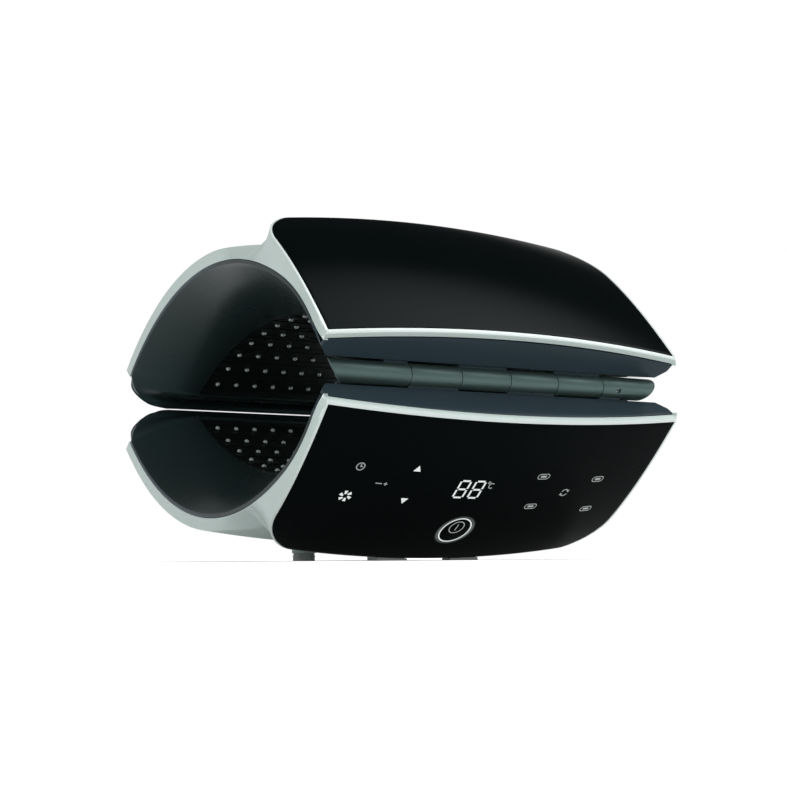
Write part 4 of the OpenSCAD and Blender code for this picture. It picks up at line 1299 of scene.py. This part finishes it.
@dataclass
class InnerTray:
    """A charcoal tray: front face, land over the barrel, bell-shaped tunnel and rear lip."""

    half: Half
    node: str
    rear_land_z: float = 6.0
    lip_y: float = 305.0
    lip_w: float = 3.4
    edge_mm: float = 0.5
    crease: float = 24.0
    flare_count: int = 30
    bed_count: int = 10
    arc_count: int = 88
    front_steps: int = 3
    rear_steps: int = 5
    # Depths of the first and last arc rows, from the front edge and from the rear lip's top.
    arc_ends: tuple[float, float] = (7.2, 6.5)
    # End rows near the hinge that are drawn in: depth, height and by how much.
    lip_cut: tuple[tuple[float, float, float], ...] = (
        (11.6, 8.0, 2.0), (13.2, 8.3, 3.0), (13.6, 10.6, 4.0), (11.2, 15.6, 2.8))
    # How much shorter the front and the rear lip are than the rim.
    lip_short: tuple[float, float] = (2.4, 3.4)
    # Where the two lips are: over this height, before the first depth or behind the second.
    lip_over_z: float = 12.0
    lip_depths: tuple[float, float] = (20.0, 321.0)
    # How close an end row lies to the point that it is known by.
    same_point: float = 0.05
    tunnel_y: float = 13.0
    # Degrees of the bed that its first and last arc rows leave free.
    arc_margin: float = 0.5
    # How far the rear lip's top lies inside the shell, and the border round the bed's recess.
    top_inset: tuple[float, float] = (0.9, 0.4)
    bed_border: float = 0.8
    # How strongly the rear rows' curve follows their direction.
    curve_pull: float = 0.9

    def front_rows(self, near: Points) -> list[TrayRow]:
        """Lists the rows from the front lip over the V-face and the land to the bed's edge.

        Args:
            near: The bed's near edge.

        Returns:
            The rows from front to back.
        """
        z, t = FORM.land_z, FORM.tray_t
        return [
            tray_row((1.4, 15.8), (2.9, 17), (-2.2, 22.2), (-0.6, 23.4), crown=True),
            tray_row((6.4, 12), (7.4, 13.9), (4.7, 15.1), (6.1, 16.6), crown=True),
            tray_row((11.6, z), (10.6, 11.2), (11.6, z), (12.6, z + t), crown=True),
            tray_row((13.2, z + 0.3), (11.3, 11), (31, z), (31, z + t)),
            tray_row((13.6, 10.6), (11.6, 11.4), near - (0.6, 0), near + (-2.6, t)),
            tray_row((11.2, 15.6), (9.2, 14.6), near, near + (-2.2, t + 0.6),
                     (near + (-0.3, 0.3), near + (-2.2, t + 0.6)))]

    def arc_rows(self, reach: float, top_y: float) -> list[TrayRow]:
        """Lists the rows round the tunnel, over the bed's angles from -reach to reach.

        Args:
            reach: Half the bed's angle, in radians.
            top_y: Depth of the rear lip's top.

        Returns:
            The rows from front to back.
        """
        f = FORM
        seat_r = f.bed_r + f.bed_t + f.rib_h + f.fit
        first, last = self.arc_ends
        rows = []
        for k in range(self.arc_count + 1):
            share = k / self.arc_count
            a = -reach + 2 * reach * share
            y = np.array(first + (top_y - last - first) * share)
            back = f.bed(a, seat_r + f.tray_t)
            rows.append(tray_row(f.rim(y, f.tray_lip), f.rim(y, f.tray_lip - f.tray_t),
                                 f.bed(a, f.bed_r), back, (f.bed(a, seat_r), back)))
        return rows

    def rear_rows(self, far: Points, top: Points) -> list[TrayRow]:
        """Lists the rows from the bed's far edge over the rear land and up the rear lip.

        Args:
            far: The bed's far edge.
            top: Top of the rear lip.

        Returns:
            The rows from front to back.
        """
        z, y, gap, t = self.rear_land_z, self.lip_y, FORM.half_gap, FORM.tray_t
        rows = [
            tray_row((314.6, 17), (316.8, 18), far + (2, -1.2), far + (2.6, 1.6)),
            tray_row((314.2, 12), (316.6, 12.6), (y - 6, z), (y - 5, z + t)),
            tray_row((311.6, 6.4), (313.6, 8.4), (y - 1.2, z - 1.2), (y + 1, z + 1.6)),
            tray_row((306.4, 1.6), (308.2, 4.8), (y, gap + 0.4), (y + 1.8, 5.6))]
        for seen, hidden, flare in (
                ((y + 1, gap), (y + 3.8, 4.4), 0), ((y + self.lip_w, gap), (y + 4.9, 4.4), 0),
                ((313.4, 3.2), (312.6, 6.2), 0.2), ((318.2, 9.2), (316.6, 10.6), 0.8),
                ((320.6, 16), (318.4, 16.8), 1.8), (top, top - (t, -0.6), FORM.crown_rear)):
            rows.append(tray_row(seen, hidden, np.array(seen) + (0, flare),
                                 np.array(hidden) + (0, flare), crown=True))
        return rows

    def end_half(self, row: TrayRow) -> float:
        """Returns a row's half length at its open end.

        Args:
            row: The row.

        Returns:
            Half the distance between the row's two ends.
        """
        y, z = row.end[0]
        half = float(FORM.rim_half(row.end[0]))
        if row.crown and z > self.lip_over_z:
            front, rear = self.lip_depths
            half -= self.lip_short[0] if y < front else self.lip_short[1] if y > rear else 0
        return half - next((d for at_y, at_z, d in self.lip_cut
                            if max(abs(y - at_y), abs(z - at_z)) < self.same_point), 0)

    def skins(self) -> list[Points]:
        """Lays points along every row, for the two faces of the tray.

        Returns:
            The visible and the hidden skin, each as rows by columns of points.
        """
        f = FORM
        reach = math.acos((f.land_z - f.bed_cz) / f.bed_r)
        top = f.arch(np.array(f.rear_a), f.arch_r - f.wall - f.fit) - self.top_inset
        front = self.front_rows(f.bed(-reach, f.bed_r))
        arc = self.arc_rows(reach - math.radians(self.arc_margin), top[0])
        rear = self.rear_rows(f.bed(reach, f.bed_r), top)
        recess = f.bed_half + f.fit
        share = np.linspace(0, 1, self.flare_count)
        bed_x = np.linspace(recess, 0, self.bed_count)
        lines: list[list[Points]] = [[], []]
        for row in front + arc + rear:
            half = self.end_half(row)
            x = half + (recess + self.bed_border - half) * share
            w = (x / half) ** 2 if row.crown else (1 - share) ** 2
            for side in (0, 1):
                end, edge, bed = row.end[side], row.edge[side], row.bed[side]
                flare = edge + (end - edge) * w[:, None]
                floor = edge + (end - edge) * ((bed_x / half) ** 2)[:, None] if row.crown \
                    else bed + 0 * bed_x[:, None]
                lines[side].append(np.concatenate([np.c_[-x, flare], np.c_[-bed_x, floor]]))
        skins = []
        first, last = len(front), len(front) + self.arc_count
        for rows in map(np.stack, lines):
            skins.append(wide(np.concatenate([
                self.straight(rows[:first + 1]), rows[first:last + 1], self.curved(rows[last:])])))
        return skins

    def straight(self, rows: Points) -> Points:
        """Returns the rows but the last, with straight steps between, as their creases are real."""
        g = np.arange(self.front_steps)[None, :, None, None] / self.front_steps
        return (rows[:-1, None] * (1 - g) + rows[1:, None] * g).reshape(-1, *rows.shape[1:])

    def curved(self, rows: Points) -> Points:
        """Returns the rows with steps on one smooth curve between them, without the first row.

        Args:
            rows: Rows of points.

        Returns:
            The finer rows.
        """
        g = np.arange(self.rear_steps)[None, :, None, None] / self.rear_steps
        a, b = rows[:-1, None], rows[1:, None]
        slope = np.gradient(rows, axis=0) * self.curve_pull
        bend = g * (1 - g) * ((1 - g) * (slope[:-1, None] - (b - a))
                              - g * (slope[1:, None] - (b - a)))
        fine = (a * (1 - g) + b * g + bend).reshape(-1, *rows.shape[1:])
        fine = np.concatenate([fine[1:], rows[-1:]])
        fine[..., 2] = np.maximum(fine[..., 2], FORM.half_gap)
        return fine

    def build(self) -> Object:
        """Presses the tray, rounds its edges and dresses its two surfaces.

        Returns:
            The finished tray.
        """
        obj = pressed(self.node + "_skin", *[FORM.seat(k, self.half) for k in self.skins()])
        soften(obj, self.edge_mm, self.crease)
        smooth(obj)
        dress(obj, CHARCOAL)
        # Faces inside the tunnel get a darker copy of the same ABS: painted shade.
        dress_faces(obj, TUNNEL_SHADE_ABS, self.tunnel_shade_faces(obj))
        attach(obj, self.half.name.lower())
        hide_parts(self.node)
        return obj

    def tunnel_shade_faces(self, obj: Object) -> Points:
        """Returns which faces look into the tunnel; they get the painted shade.

        Args:
            obj: The tray.

        Returns:
            A mask over the tray's faces.
        """
        at = face_data(obj, "center")
        out = face_data(obj, "normal")
        inward = out[:, 1] * (FORM.arch_y - FORM.middle_y - at[:, 1] / MM) \
            + out[:, 2] * (FORM.stand_z - at[:, 2] / MM)
        return (at[:, 1] / MM + FORM.middle_y > self.tunnel_y) & (inward > 0)


def tray_row(end: Any, end_back: Any, edge: Any, edge_back: Any, bed: Any = None,
             crown: bool = False) -> TrayRow:
    """Puts a tray's row together.

    Args:
        end: Visible point at the open end.
        end_back: Hidden point there.
        edge: Visible point at the edge of the bed.
        edge_back: Hidden point there.
        bed: Visible and hidden point at the bed, where they aren't those of its edge.
        crown: Whether the row follows the crown.

    Returns:
        The row.
    """
    pairs = (end, end_back), (edge, edge_back), bed or (edge, edge_back)
    return TrayRow(*[(np.array(a), np.array(b)) for a, b in pairs], crown)


# ---- Hinge, key and legends ----


@dataclass
class Hinge:
    """The two hinge leaves with their knuckles."""

    edge_mm: float = 0.35
    barrel_r: float = 7.2
    barrel_play: float = 1.02

    def build(self) -> list[Object]:
        """Rounds both leaves' edges and dresses them.

        Returns:
            The two leaves.
        """
        made = []
        for half in Half:
            body = half.name.lower()
            obj = softened_copy(f"{body}_hinge_leaf", f"{body}_hinge_leaf_drawn", self.edge_mm)
            dress(obj, HINGE_SATIN)
            axis = np.array([FORM.hinge_y - FORM.middle_y, FORM.stand_z]) * MM
            off = np.linalg.norm(face_data(obj, "center")[:, 1:] - axis, axis=1)
            # The leaf's faces away from the barrel take the charcoal of the front faces; their dark
            # colour is partly painted shade in the knuckle gaps and at the neck.
            dress_faces(obj, CHARCOAL, off > self.barrel_r * MM * self.barrel_play)
            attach(obj, body)
            made.append(obj)
        return made


@dataclass
class Lamps:
    """The lamps of both beds: a clear lens on a dark flange."""

    flange_drop: float = 1.85

    def build(self) -> list[Object]:
        """Copies each half's lamps and blackens their flanges.

        Returns:
            The lamps of the lid and of the base.
        """
        made = []
        for half in Half:
            body = half.name.lower()
            obj = softened_copy(f"{body}_leds", f"{body}_lamp_lenses", 0)
            dress(obj, LAMP_LENS)
            at = face_data(obj, "center") / MM + (0, FORM.middle_y, -FORM.stand_z)
            off = np.hypot(at[:, 1] - FORM.bed_y, at[:, 2] * half.value - FORM.bed_cz)
            dress_faces(obj, BED_BLACK, off > FORM.bed_r + FORM.rib_h - self.flange_drop)
            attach(obj, body)
            made.append(obj)
        return made


@dataclass
class PowerKey:
    """A round key that follows the panel, with a lit ring and its light guide."""

    radius: float = 11.5
    thickness: float = 2.0
    sink: float = 0.03
    at: float = 0.69
    ring: tuple[float, float] = (10.3, 11.15)
    guide: tuple[float, float] = (8.9, 10.5)
    guide_depth: float = 10.0
    halo: tuple[float, float] = (11.75, 14.4)
    fade: tuple[float, float] = (11.4, 14.4)
    symbol: tuple[float, float] = (4.8, 5.35)
    symbol_at: tuple[float, float] = (-0.4, -2.8)
    bar: tuple[float, float] = (0.55, 5.4)
    print_t: float = 0.1
    halo_t: float = 0.06
    lift: float = 0.02
    halo_lift: float = 0.03
    halo_glow: str = "#cfe0dc"
    halo_strength: float = 0.4
    small_sides: int = 64
    edge_mm: float = 0.3
    crease: float = 60.0
    inset_count: int = 8
    inset_rest: float = 1.5

    def build(self) -> list[Object]:
        """Builds the key's cap, its ring, the halo on the panel and the symbol.

        Returns:
            The cap and its three lit prints.
        """
        middle = (0.0, slope_way(self.at))
        pieces = [self.build_cap(middle)]
        ring = ring_plate("power_key_ring", *self.ring, self.print_t, KEY_SIDES)
        halo = ring_plate("power_key_halo", *self.halo, self.halo_t, KEY_SIDES)
        symbol = join([
            ring_plate("power_symbol", *self.symbol, self.print_t, self.small_sides,
                       self.symbol_at),
            bar_plate("power_bar", *self.bar, self.print_t, self.symbol_at)], "power_symbol")
        for obj, finish, lift in ((ring, LIT_WHITE, self.lift),
                                  (halo, self.halo_finish(middle), self.halo_lift),
                                  (symbol, LIT_GREY, self.lift)):
            p = corners(obj)
            p[:, 2] += lift
            place_corners(obj, wrapped(p, middle, Half.BASE))
            face_out(obj, PRINT_MERGE_MM)
            smooth(obj)
            dress(obj, finish)
            pieces.append(obj)
        for obj in pieces:
            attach(obj, "base")
        return pieces

    def build_cap(self, middle: tuple[float, float]) -> Object:
        """Builds the cap and its light guide as one piece, curved as the panel is.

        Args:
            middle: Place of the key, as x and the distance along the profile.

        Returns:
            The cap.
        """
        cap = cylinder("power_key_cap", self.radius, self.thickness, KEY_SIDES)
        self.add_rings(cap)
        guide = ring_plate("guide", *self.guide, self.guide_depth, self.small_sides)
        p = corners(guide)
        p[:, 2] -= self.thickness / 2 + self.guide_depth / 2
        place_corners(guide, p)
        cap = join([cap, guide], "power_key_cap")
        p = corners(cap)
        p[:, 2] -= self.thickness / 2 + self.sink
        place_corners(cap, wrapped(p, middle, Half.BASE))
        face_out(cap)
        soften(cap, self.edge_mm, self.crease)
        smooth(cap)
        dress(cap, TOUCH_BLACK)
        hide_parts("power_key")
        return cap

    def halo_finish(self, middle: tuple[float, float]) -> HaloFinish:
        """Returns the panel's black with the ring's light on it.

        Args:
            middle: Place of the key, as x and the distance along the profile.

        Returns:
            The halo's finish.
        """
        centre = wrapped(np.zeros((1, 3)), middle, Half.BASE)[0]
        return HaloFinish(**{
            **asdict(TOUCH_BLACK), "name": "ring_halo_on_black", "glow": self.halo_glow,
            "glow_strength": self.halo_strength, "centre": tuple(float(c) for c in centre),
            "inner_mm": self.fade[0], "outer_mm": self.fade[1]})

    def add_rings(self, cap: Object) -> None:
        """Insets the cap's two flat faces again and again, so that they can curve.

        Args:
            cap: The cap.
        """
        select_faces(cap, lambda face: abs(face.normal.z) > 0.9)
        for _ in range(self.inset_count):
            bpy.ops.mesh.inset(thickness=self.radius / (self.inset_count + self.inset_rest))
        bpy.ops.object.mode_set(mode="OBJECT")


def ring_plate(name: str, inner: float, outer: float, height: float, sides: int,
               at: tuple[float, float] = (0.0, 0.0), arc: tuple[float, float] = (0.0, 360.0)
               ) -> Object:
    """Builds a flat ring, or a piece of one, in drawing millimetres.

    Args:
        name: The piece's name.
        inner: Inner radius.
        outer: Outer radius.
        height: Thickness, half of it above Z = 0 and half below.
        sides: Number of steps round it.
        at: Middle of the ring.
        arc: First and last angle, in degrees.

    Returns:
        A closed plate.
    """
    a = np.radians(np.linspace(arc[0], arc[1], sides + 1))
    rings = np.stack([np.stack([at[0] + r * np.cos(a), at[1] + r * np.sin(a), 0 * a], -1)
                      for r in (inner, (inner + outer) / 2, outer)])
    obj = pressed(name, rings + (0, 0, height / 2), rings - (0, 0, height / 2))
    if arc[1] - arc[0] >= 360:
        select_faces(obj, lambda face: abs(face.center.y - at[1]) < 1e-6
                     and face.center.x > at[0] and abs(face.normal.y) > 0.9)
        bpy.ops.mesh.delete(type="ONLY_FACE")
        bpy.ops.mesh.select_all(action="SELECT")
        bpy.ops.mesh.remove_doubles(threshold=DRAWN_MERGE_MM)
        bpy.ops.mesh.normals_make_consistent(inside=False)
        bpy.ops.object.mode_set(mode="OBJECT")
    return obj


def bar_plate(name: str, width: float, length: float, height: float,
              at: tuple[float, float] = (0.0, 0.0), lean: float = 0.0,
              taper: float = 1.0) -> Object:
    """Builds a flat bar along the drawing's Y, in millimetres.

    Args:
        name: The piece's name.
        width: Width across the bar.
        length: Length of the bar.
        height: Thickness.
        at: Middle of the bar.
        lean: Turn of the bar to the left, in degrees.
        taper: Width of the far end as a share of the near end's.

    Returns:
        A closed plate.
    """
    y = np.linspace(-length / 2, length / 2, max(3, int(length / 2) + 2))
    w = width / 2 * (1 + (taper - 1) * (y / length + 0.5))
    rows = np.stack([np.stack([s * w, y, 0 * y], -1) for s in (-1, 0, 1)])
    a = math.radians(lean)
    turned = rows.copy()
    turned[..., 0] = rows[..., 0] * math.cos(a) - rows[..., 1] * math.sin(a) + at[0]
    turned[..., 1] = rows[..., 0] * math.sin(a) + rows[..., 1] * math.cos(a) + at[1]
    return pressed(name, turned + (0, 0, height / 2), turned - (0, 0, height / 2))


class Legend(Enum):
    """The signs on the control panel, each at its x and its share of the slope."""

    CLOCK = (-93.9, 0.284)
    FAN = (-93.4, 0.475)
    PLUS = (-73.6, 0.372)
    UP = (-55.0, 0.265)
    DOWN = (-52.6, 0.472)
    DIGITS = (-10.0, 0.374)
    DEGREE = (3.2, 0.352)
    LAMP_ONE = (42.3, 0.288)
    LAMP_TWO = (90.3, 0.32)
    CYCLE = (68.0, 0.402)
    LAMP_THREE = (46.9, 0.495)
    LAMP_FOUR = (97.5, 0.548)


@dataclass
class ControlLegends:
    """The lit signs on the control panel's face, wrapped onto its crown."""

    height: float = 0.1
    lift: float = 0.02
    stroke: float = 0.62
    digit_x: float = 5.6
    # Seven strokes of a digit: x, y, turn and length.
    segments: tuple[tuple[float, ...], ...] = (
        (0, 6.6, 90, 5.6), (0, 0, 90, 5.2), (0, -6.6, 90, 5.6), (-3.6, 3.3, 0, 5.4),
        (3.6, 3.3, 0, 5.4), (-3.6, -3.3, 0, 5.4), (3.6, -3.3, 0, 5.4))

    def build(self) -> list[Object]:
        """Builds every sign, wraps it onto the panel and lets it ride with the base.

        Returns:
            The signs.
        """
        drawings: dict[Legend, Callable[[], list[Object]]] = {
            Legend.CLOCK: self.clock, Legend.FAN: self.fan, Legend.PLUS: self.plus,
            Legend.UP: lambda: self.arrow(1), Legend.DOWN: lambda: self.arrow(-1),
            Legend.DIGITS: self.digits, Legend.DEGREE: self.degree, Legend.CYCLE: self.cycle}
        made = []
        for legend in Legend:
            parts = drawings.get(legend, self.lamp)()
            obj = join(parts, f"legend_{legend.name.lower()}")
            p = corners(obj)
            p[:, 2] += self.lift
            where = (legend.value[0], slope_way(legend.value[1]))
            place_corners(obj, wrapped(p, where, Half.BASE))
            face_out(obj, PRINT_MERGE_MM)
            smooth(obj)
            bright = legend in (Legend.FAN, Legend.UP, Legend.DOWN, Legend.DIGITS)
            dress(obj, LIT_WHITE if bright else LIT_GREY)
            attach(obj, "base")
            made.append(obj)
        return made

    def clock(self) -> list[Object]:
        """Draws a clock face: a ring with two hands.

        Returns:
            The drawing's plates.
        """
        h, w = self.height, self.stroke
        return [ring_plate("c", 2.3, 2.3 + w, h, 40), bar_plate("c", w, 2.0, h, (0, -0.8)),
                bar_plate("c", w, 1.6, h, (0.7, 0), 90)]

    def fan(self) -> list[Object]:
        """Draws six blades round a free middle.

        Returns:
            The drawing's plates.
        """
        parts = []
        for k in range(6):
            a = math.radians(60 * k + 15)
            at = (2.9 * math.cos(a), 2.9 * math.sin(a))
            parts.append(bar_plate("f", 1.1, 2.6, self.height, at, 60 * k + 15 - 90 + 14, 2.0))
        return parts

    def plus(self) -> list[Object]:
        """Draws a short bar with a plus sign after it.

        Returns:
            The drawing's plates.
        """
        h, w = self.height, self.stroke
        return [bar_plate("p", w, 4.4, h, (-2.6, 0), 90), bar_plate("p", w, 2.4, h, (2.2, 0), 90),
                bar_plate("p", w, 2.4, h * 1.02, (2.2, 0))]

    def arrow(self, way: int) -> list[Object]:
        """Draws a triangle that points up or down the front."""
        return [bar_plate("a", 5.1, 4.2, self.height, (0, 0), 0 if way < 0 else 180, 0.04)]

    def digits(self) -> list[Object]:
        """Draws two seven-segment eights."""
        return [bar_plate("d", 1.3, length, self.height, (x + dx, dy), turn)
                for x in (-self.digit_x, self.digit_x) for dx, dy, turn, length in self.segments]

    def degree(self) -> list[Object]:
        """Draws a small ring and an open arc: degrees on the hundred-step scale."""
        return [ring_plate("g", 0.55, 1.05, self.height, 24, (-0.9, -3.0)),
                ring_plate("g", 1.6, 2.2, self.height, 30, (1.9, -0.6), (50, 310))]

    def cycle(self) -> list[Object]:
        """Draws two arrows that chase each other round.

        Returns:
            The drawing's plates.
        """
        h, w = self.height, self.stroke
        parts = [ring_plate("y", 2.3, 2.3 + w, h, 24, (0, 0), (20 + k, 150 + k))
                 for k in (0, 180)]
        for k in (0, 180):
            a = math.radians(158 + k)
            parts.append(bar_plate("y", 2.2, 1.7, h * 1.02, (2.6 * math.cos(a), 2.6 * math.sin(a)),
                                   158 + k, 0.05))
        return parts

    def lamp(self) -> list[Object]:
        """Draws a capsule outline with a short bar in it: one colour of the lamps.

        Returns:
            The drawing's plates.
        """
        h, w = self.height, 0.5
        r, run = 1.7, 2.6
        parts = [ring_plate("l", r, r + w, h, 20, (s * run, 0), (-90, 90) if s > 0 else (90, 270))
                 for s in (-1, 1)]
        parts += [bar_plate("l", w, 2 * run, h, (0, s * (r + w / 2)), 90) for s in (-1, 1)]
        return parts + [bar_plate("l", 1.5, 4.6, h, (0, 0), 90)]


# ---- Pieces of the frame that keep their own shape ----


@dataclass
class KeptPieces:
    """Nodes of the frame that are shown as they are, each in its own finish."""

    finishes: dict[str, Finish] = field(default_factory=lambda: {
        "led_bed": BED_BLACK, "led_boards": LAMP_MASK, "touch_board": GREEN_MASK,
        "display_module": INNER_BLACK, "main_board": GREEN_MASK, "buzzer": INNER_BLACK,
        "fan_frame": INNER_BLACK, "fan_impeller": INNER_BLACK, "fan_screws": STEEL,
        "dc_inlet": INNER_BLACK, "front_feet": RUBBER, "rear_feet": RUBBER, "tray_screws": STEEL,
        "leaf_screws": STEEL, "hinge_pin": STEEL, "pin_grub_screw": STEEL,
        "friction_washers": STEEL, "driver_board": GREEN_MASK, "friction_bushes": ACETAL})

    def build(self) -> list[Object]:
        """Dresses each node that no new piece stands for.

        Returns:
            The dressed nodes.
        """
        made = []
        for name, obj in sorted(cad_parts.items()):
            key = name.removeprefix("base_").removeprefix("lid_")
            if key in self.finishes:
                dress(obj, self.finishes[key])
                made.append(obj)
        return made


# ---- Studio ----


@dataclass(frozen=True)
class SoftBox:
    """A soft box: its place, width and depth in metres, and its power in watts."""

    name: str
    at: tuple[float, float, float]
    width: float
    depth: float
    power: float


@dataclass
class Studio:
    """Pale floor, sky, soft boxes and the camera."""

    camera_at: tuple[float, float, float] = (-0.6899, -1.0216, 0.002)
    camera_turn: tuple[float, float, float] = (95.0782, 0.3349, -34.9107)
    lens: float = 84.325
    sensor_mm: float = 36.0
    clip: tuple[float, float] = (0.002, 50.0)
    boxes: tuple[SoftBox, ...] = (
        SoftBox("overhead_soft_box", (0.5, -0.3, 1.5), 1.4, 1.0, 13.0),
        SoftBox("left_soft_box", (-1.5, -0.9, 1.0), 1.0, 1.2, 12.0))
    aim: tuple[float, float, float] = (0.0, -0.03, 0.1)
    floor_half: float = 6.0
    floor_cells: int = 8
    paper: tuple[float, float, float, float] = (0.93, 0.93, 0.93, 1.0)
    pale_paper: tuple[float, float, float, float] = (0.95, 0.95, 0.95, 1.0)
    paper_scale: float = 3.0
    paper_roughness: float = 0.9
    # The floor's own white rises from a least share to 1 between two distances in metres.
    floor_rise: tuple[float, float] = (0.2, 0.7)
    floor_least: float = 0.2
    # Heights between which the white backdrop fades into the dark ceiling.
    ceiling: tuple[float, float] = (0.3, 0.6)
    ceiling_white: float = 0.04
    sky: float = 0.5
    glow: float = 4.5
    glow_way: tuple[float, float, float] = (0.549, -0.349, 0.759)
    glow_edge: float = 0.84

    def build(self) -> list[Object]:
        """Sets up the camera, the floor, the sky and the soft boxes.

        Returns:
            The floor, which is the studio's one mesh.
        """
        bpy.context.scene.view_settings.view_transform = "Standard"
        self.add_camera()
        floor = self.add_floor()
        self.add_sky()
        for box in self.boxes:
            self.add_box(box)
        return [floor]

    def add_camera(self) -> None:
        """Places the camera just above the floor."""
        data = bpy.data.cameras.new("camera")
        data.lens = self.lens
        data.sensor_width = self.sensor_mm
        data.clip_start, data.clip_end = self.clip
        camera = bpy.data.objects.new("camera", data)
        camera.location = self.camera_at
        camera.rotation_euler = [math.radians(a) for a in self.camera_turn]
        bpy.context.scene.collection.objects.link(camera)
        bpy.context.scene.camera = camera

    def add_floor(self) -> Object:
        """Lays the pale floor.

        Returns:
            The floor.
        """
        start()
        bpy.ops.mesh.primitive_grid_add(x_subdivisions=self.floor_cells,
                                        y_subdivisions=self.floor_cells,
                                        size=2 * self.floor_half)
        floor = named("studio_floor")
        made = bpy.data.materials.new("matt_white_paper")
        made.use_nodes = True
        tree = made.node_tree
        shader = next(n for n in tree.nodes if n.type == "BSDF_PRINCIPLED")
        place = add_node(tree, "TexCoord").outputs["Object"]
        tone = add_node(tree, "TexNoise", {"Vector": place, "Scale": self.paper_scale})
        colour = add_node(tree, "Mix", {0: tone.outputs[0], 6: self.paper, 7: self.pale_paper},
                          data_type="RGBA")
        tree.links.new(colour.outputs[2], shader.inputs["Base Color"])
        shader.inputs["Roughness"].default_value = self.paper_roughness
        shader.inputs["Specular IOR Level"].default_value = 0.0
        seen = self.seen_directly(tree)
        shader.inputs["Emission Color"].default_value = (1, 1, 1, 1)
        far = add_node(tree, "VectorMath", {0: place}, operation="LENGTH")
        rise = add_node(tree, "MapRange", {
            0: far.outputs["Value"], 1: self.floor_rise[0], 2: self.floor_rise[1],
            3: self.floor_least, 4: 1.0})
        lift = add_node(tree, "Math", {0: seen, 1: rise.outputs[0]}, operation="MULTIPLY")
        tree.links.new(lift.outputs[0], shader.inputs["Emission Strength"])
        floor.data.materials.append(made)
        return floor

    def seen_directly(self, tree: bpy.types.NodeTree) -> bpy.types.NodeSocket:
        """Returns 1 for camera, mirror and glass rays, and 0 for the rest.

        Args:
            tree: The tree that the nodes join.

        Returns:
            The socket with the 1 or 0.
        """
        path = add_node(tree, "LightPath")
        first = add_node(tree, "Math", {0: path.outputs["Is Camera Ray"],
                                        1: path.outputs["Is Glossy Ray"]}, operation="MAXIMUM")
        both = add_node(tree, "Math", {0: first.outputs[0],
                                       1: path.outputs["Is Transmission Ray"]},
                        operation="MAXIMUM")
        return both.outputs[0]

    def add_sky(self) -> None:
        """Makes the world white where it is seen, and a plain even light elsewhere.

        The seen world is a white backdrop under a dark ceiling with one soft overhead light, so
        that polished black shows a gradient.
        """
        world = bpy.data.worlds.new("studio_sky")
        world.use_nodes = True
        tree = world.node_tree
        back = next(n for n in tree.nodes if n.type == "BACKGROUND")
        back.inputs["Color"].default_value = (1, 1, 1, 1)
        way = add_node(tree, "TexCoord").outputs["Generated"]
        height = add_node(tree, "SeparateXYZ", {0: way}).outputs[2]
        backdrop = add_node(tree, "MapRange", {
            0: height, 1: self.ceiling[0], 2: self.ceiling[1], 3: 1.0, 4: self.ceiling_white},
            interpolation_type="SMOOTHSTEP")
        side = add_node(tree, "VectorMath", {0: way, 1: self.glow_way}, operation="DOT_PRODUCT")
        lobe = add_node(tree, "MapRange", {
            0: side.outputs["Value"], 1: self.glow_edge, 2: 1.0, 3: 0.0, 4: self.glow},
            interpolation_type="SMOOTHSTEP")
        scene_light = add_node(tree, "Math", {0: backdrop.outputs[0], 1: lobe.outputs[0]},
                               operation="MAXIMUM")
        power = add_node(tree, "MapRange", {0: self.seen_directly(tree), 3: self.sky,
                                            4: scene_light.outputs[0]})
        tree.links.new(power.outputs[0], back.inputs["Strength"])
        bpy.context.scene.world = world

    def add_box(self, box: SoftBox) -> None:
        """Hangs a soft box that faces the lamp.

        Args:
            box: The soft box.
        """
        data = bpy.data.lights.new(box.name, "AREA")
        data.shape = "RECTANGLE"
        data.size, data.size_y, data.energy = box.width, box.depth, box.power
        light = bpy.data.objects.new(box.name, data)
        light.visible_glossy = False
        light.location = box.at
        light.rotation_euler = (Vector(self.aim) - Vector(box.at)).to_track_quat(
            "-Z", "Y").to_euler()
        bpy.context.scene.collection.objects.link(light)


def report(title: str, pieces: Iterable[Object]) -> None:
    """Logs each piece with its number of faces."""
    for obj in pieces:
        LOG.info("%s: %s, %d faces", title, obj.name, len(obj.data.polygons))


def main() -> None:
    """Builds the studio and the lamp."""
    logging.basicConfig(level=logging.INFO, format="%(message)s")
    report("studio", Studio().build())
    report("kept", KeptPieces().build())
    report("shell", [OuterShell(Half.LID, "lid_outer_shell").build()])
    report("shell", [BaseShell(Half.BASE, "base_outer_shell").build()])
    report("panel", [CoverPanel(Half.LID, "lid_cover_panel").build(),
                     CoverPanel(Half.BASE, "control_panel").build()])
    report("tray", [InnerTray(Half.LID, "lid_inner_tray").build(),
                    InnerTray(Half.BASE, "base_inner_tray").build()])
    report("hinge", Hinge().build())
    report("lamps", Lamps().build())
    report("key", PowerKey().build())
    report("legend", ControlLegends().build())


if __name__ == "__main__":
    main()
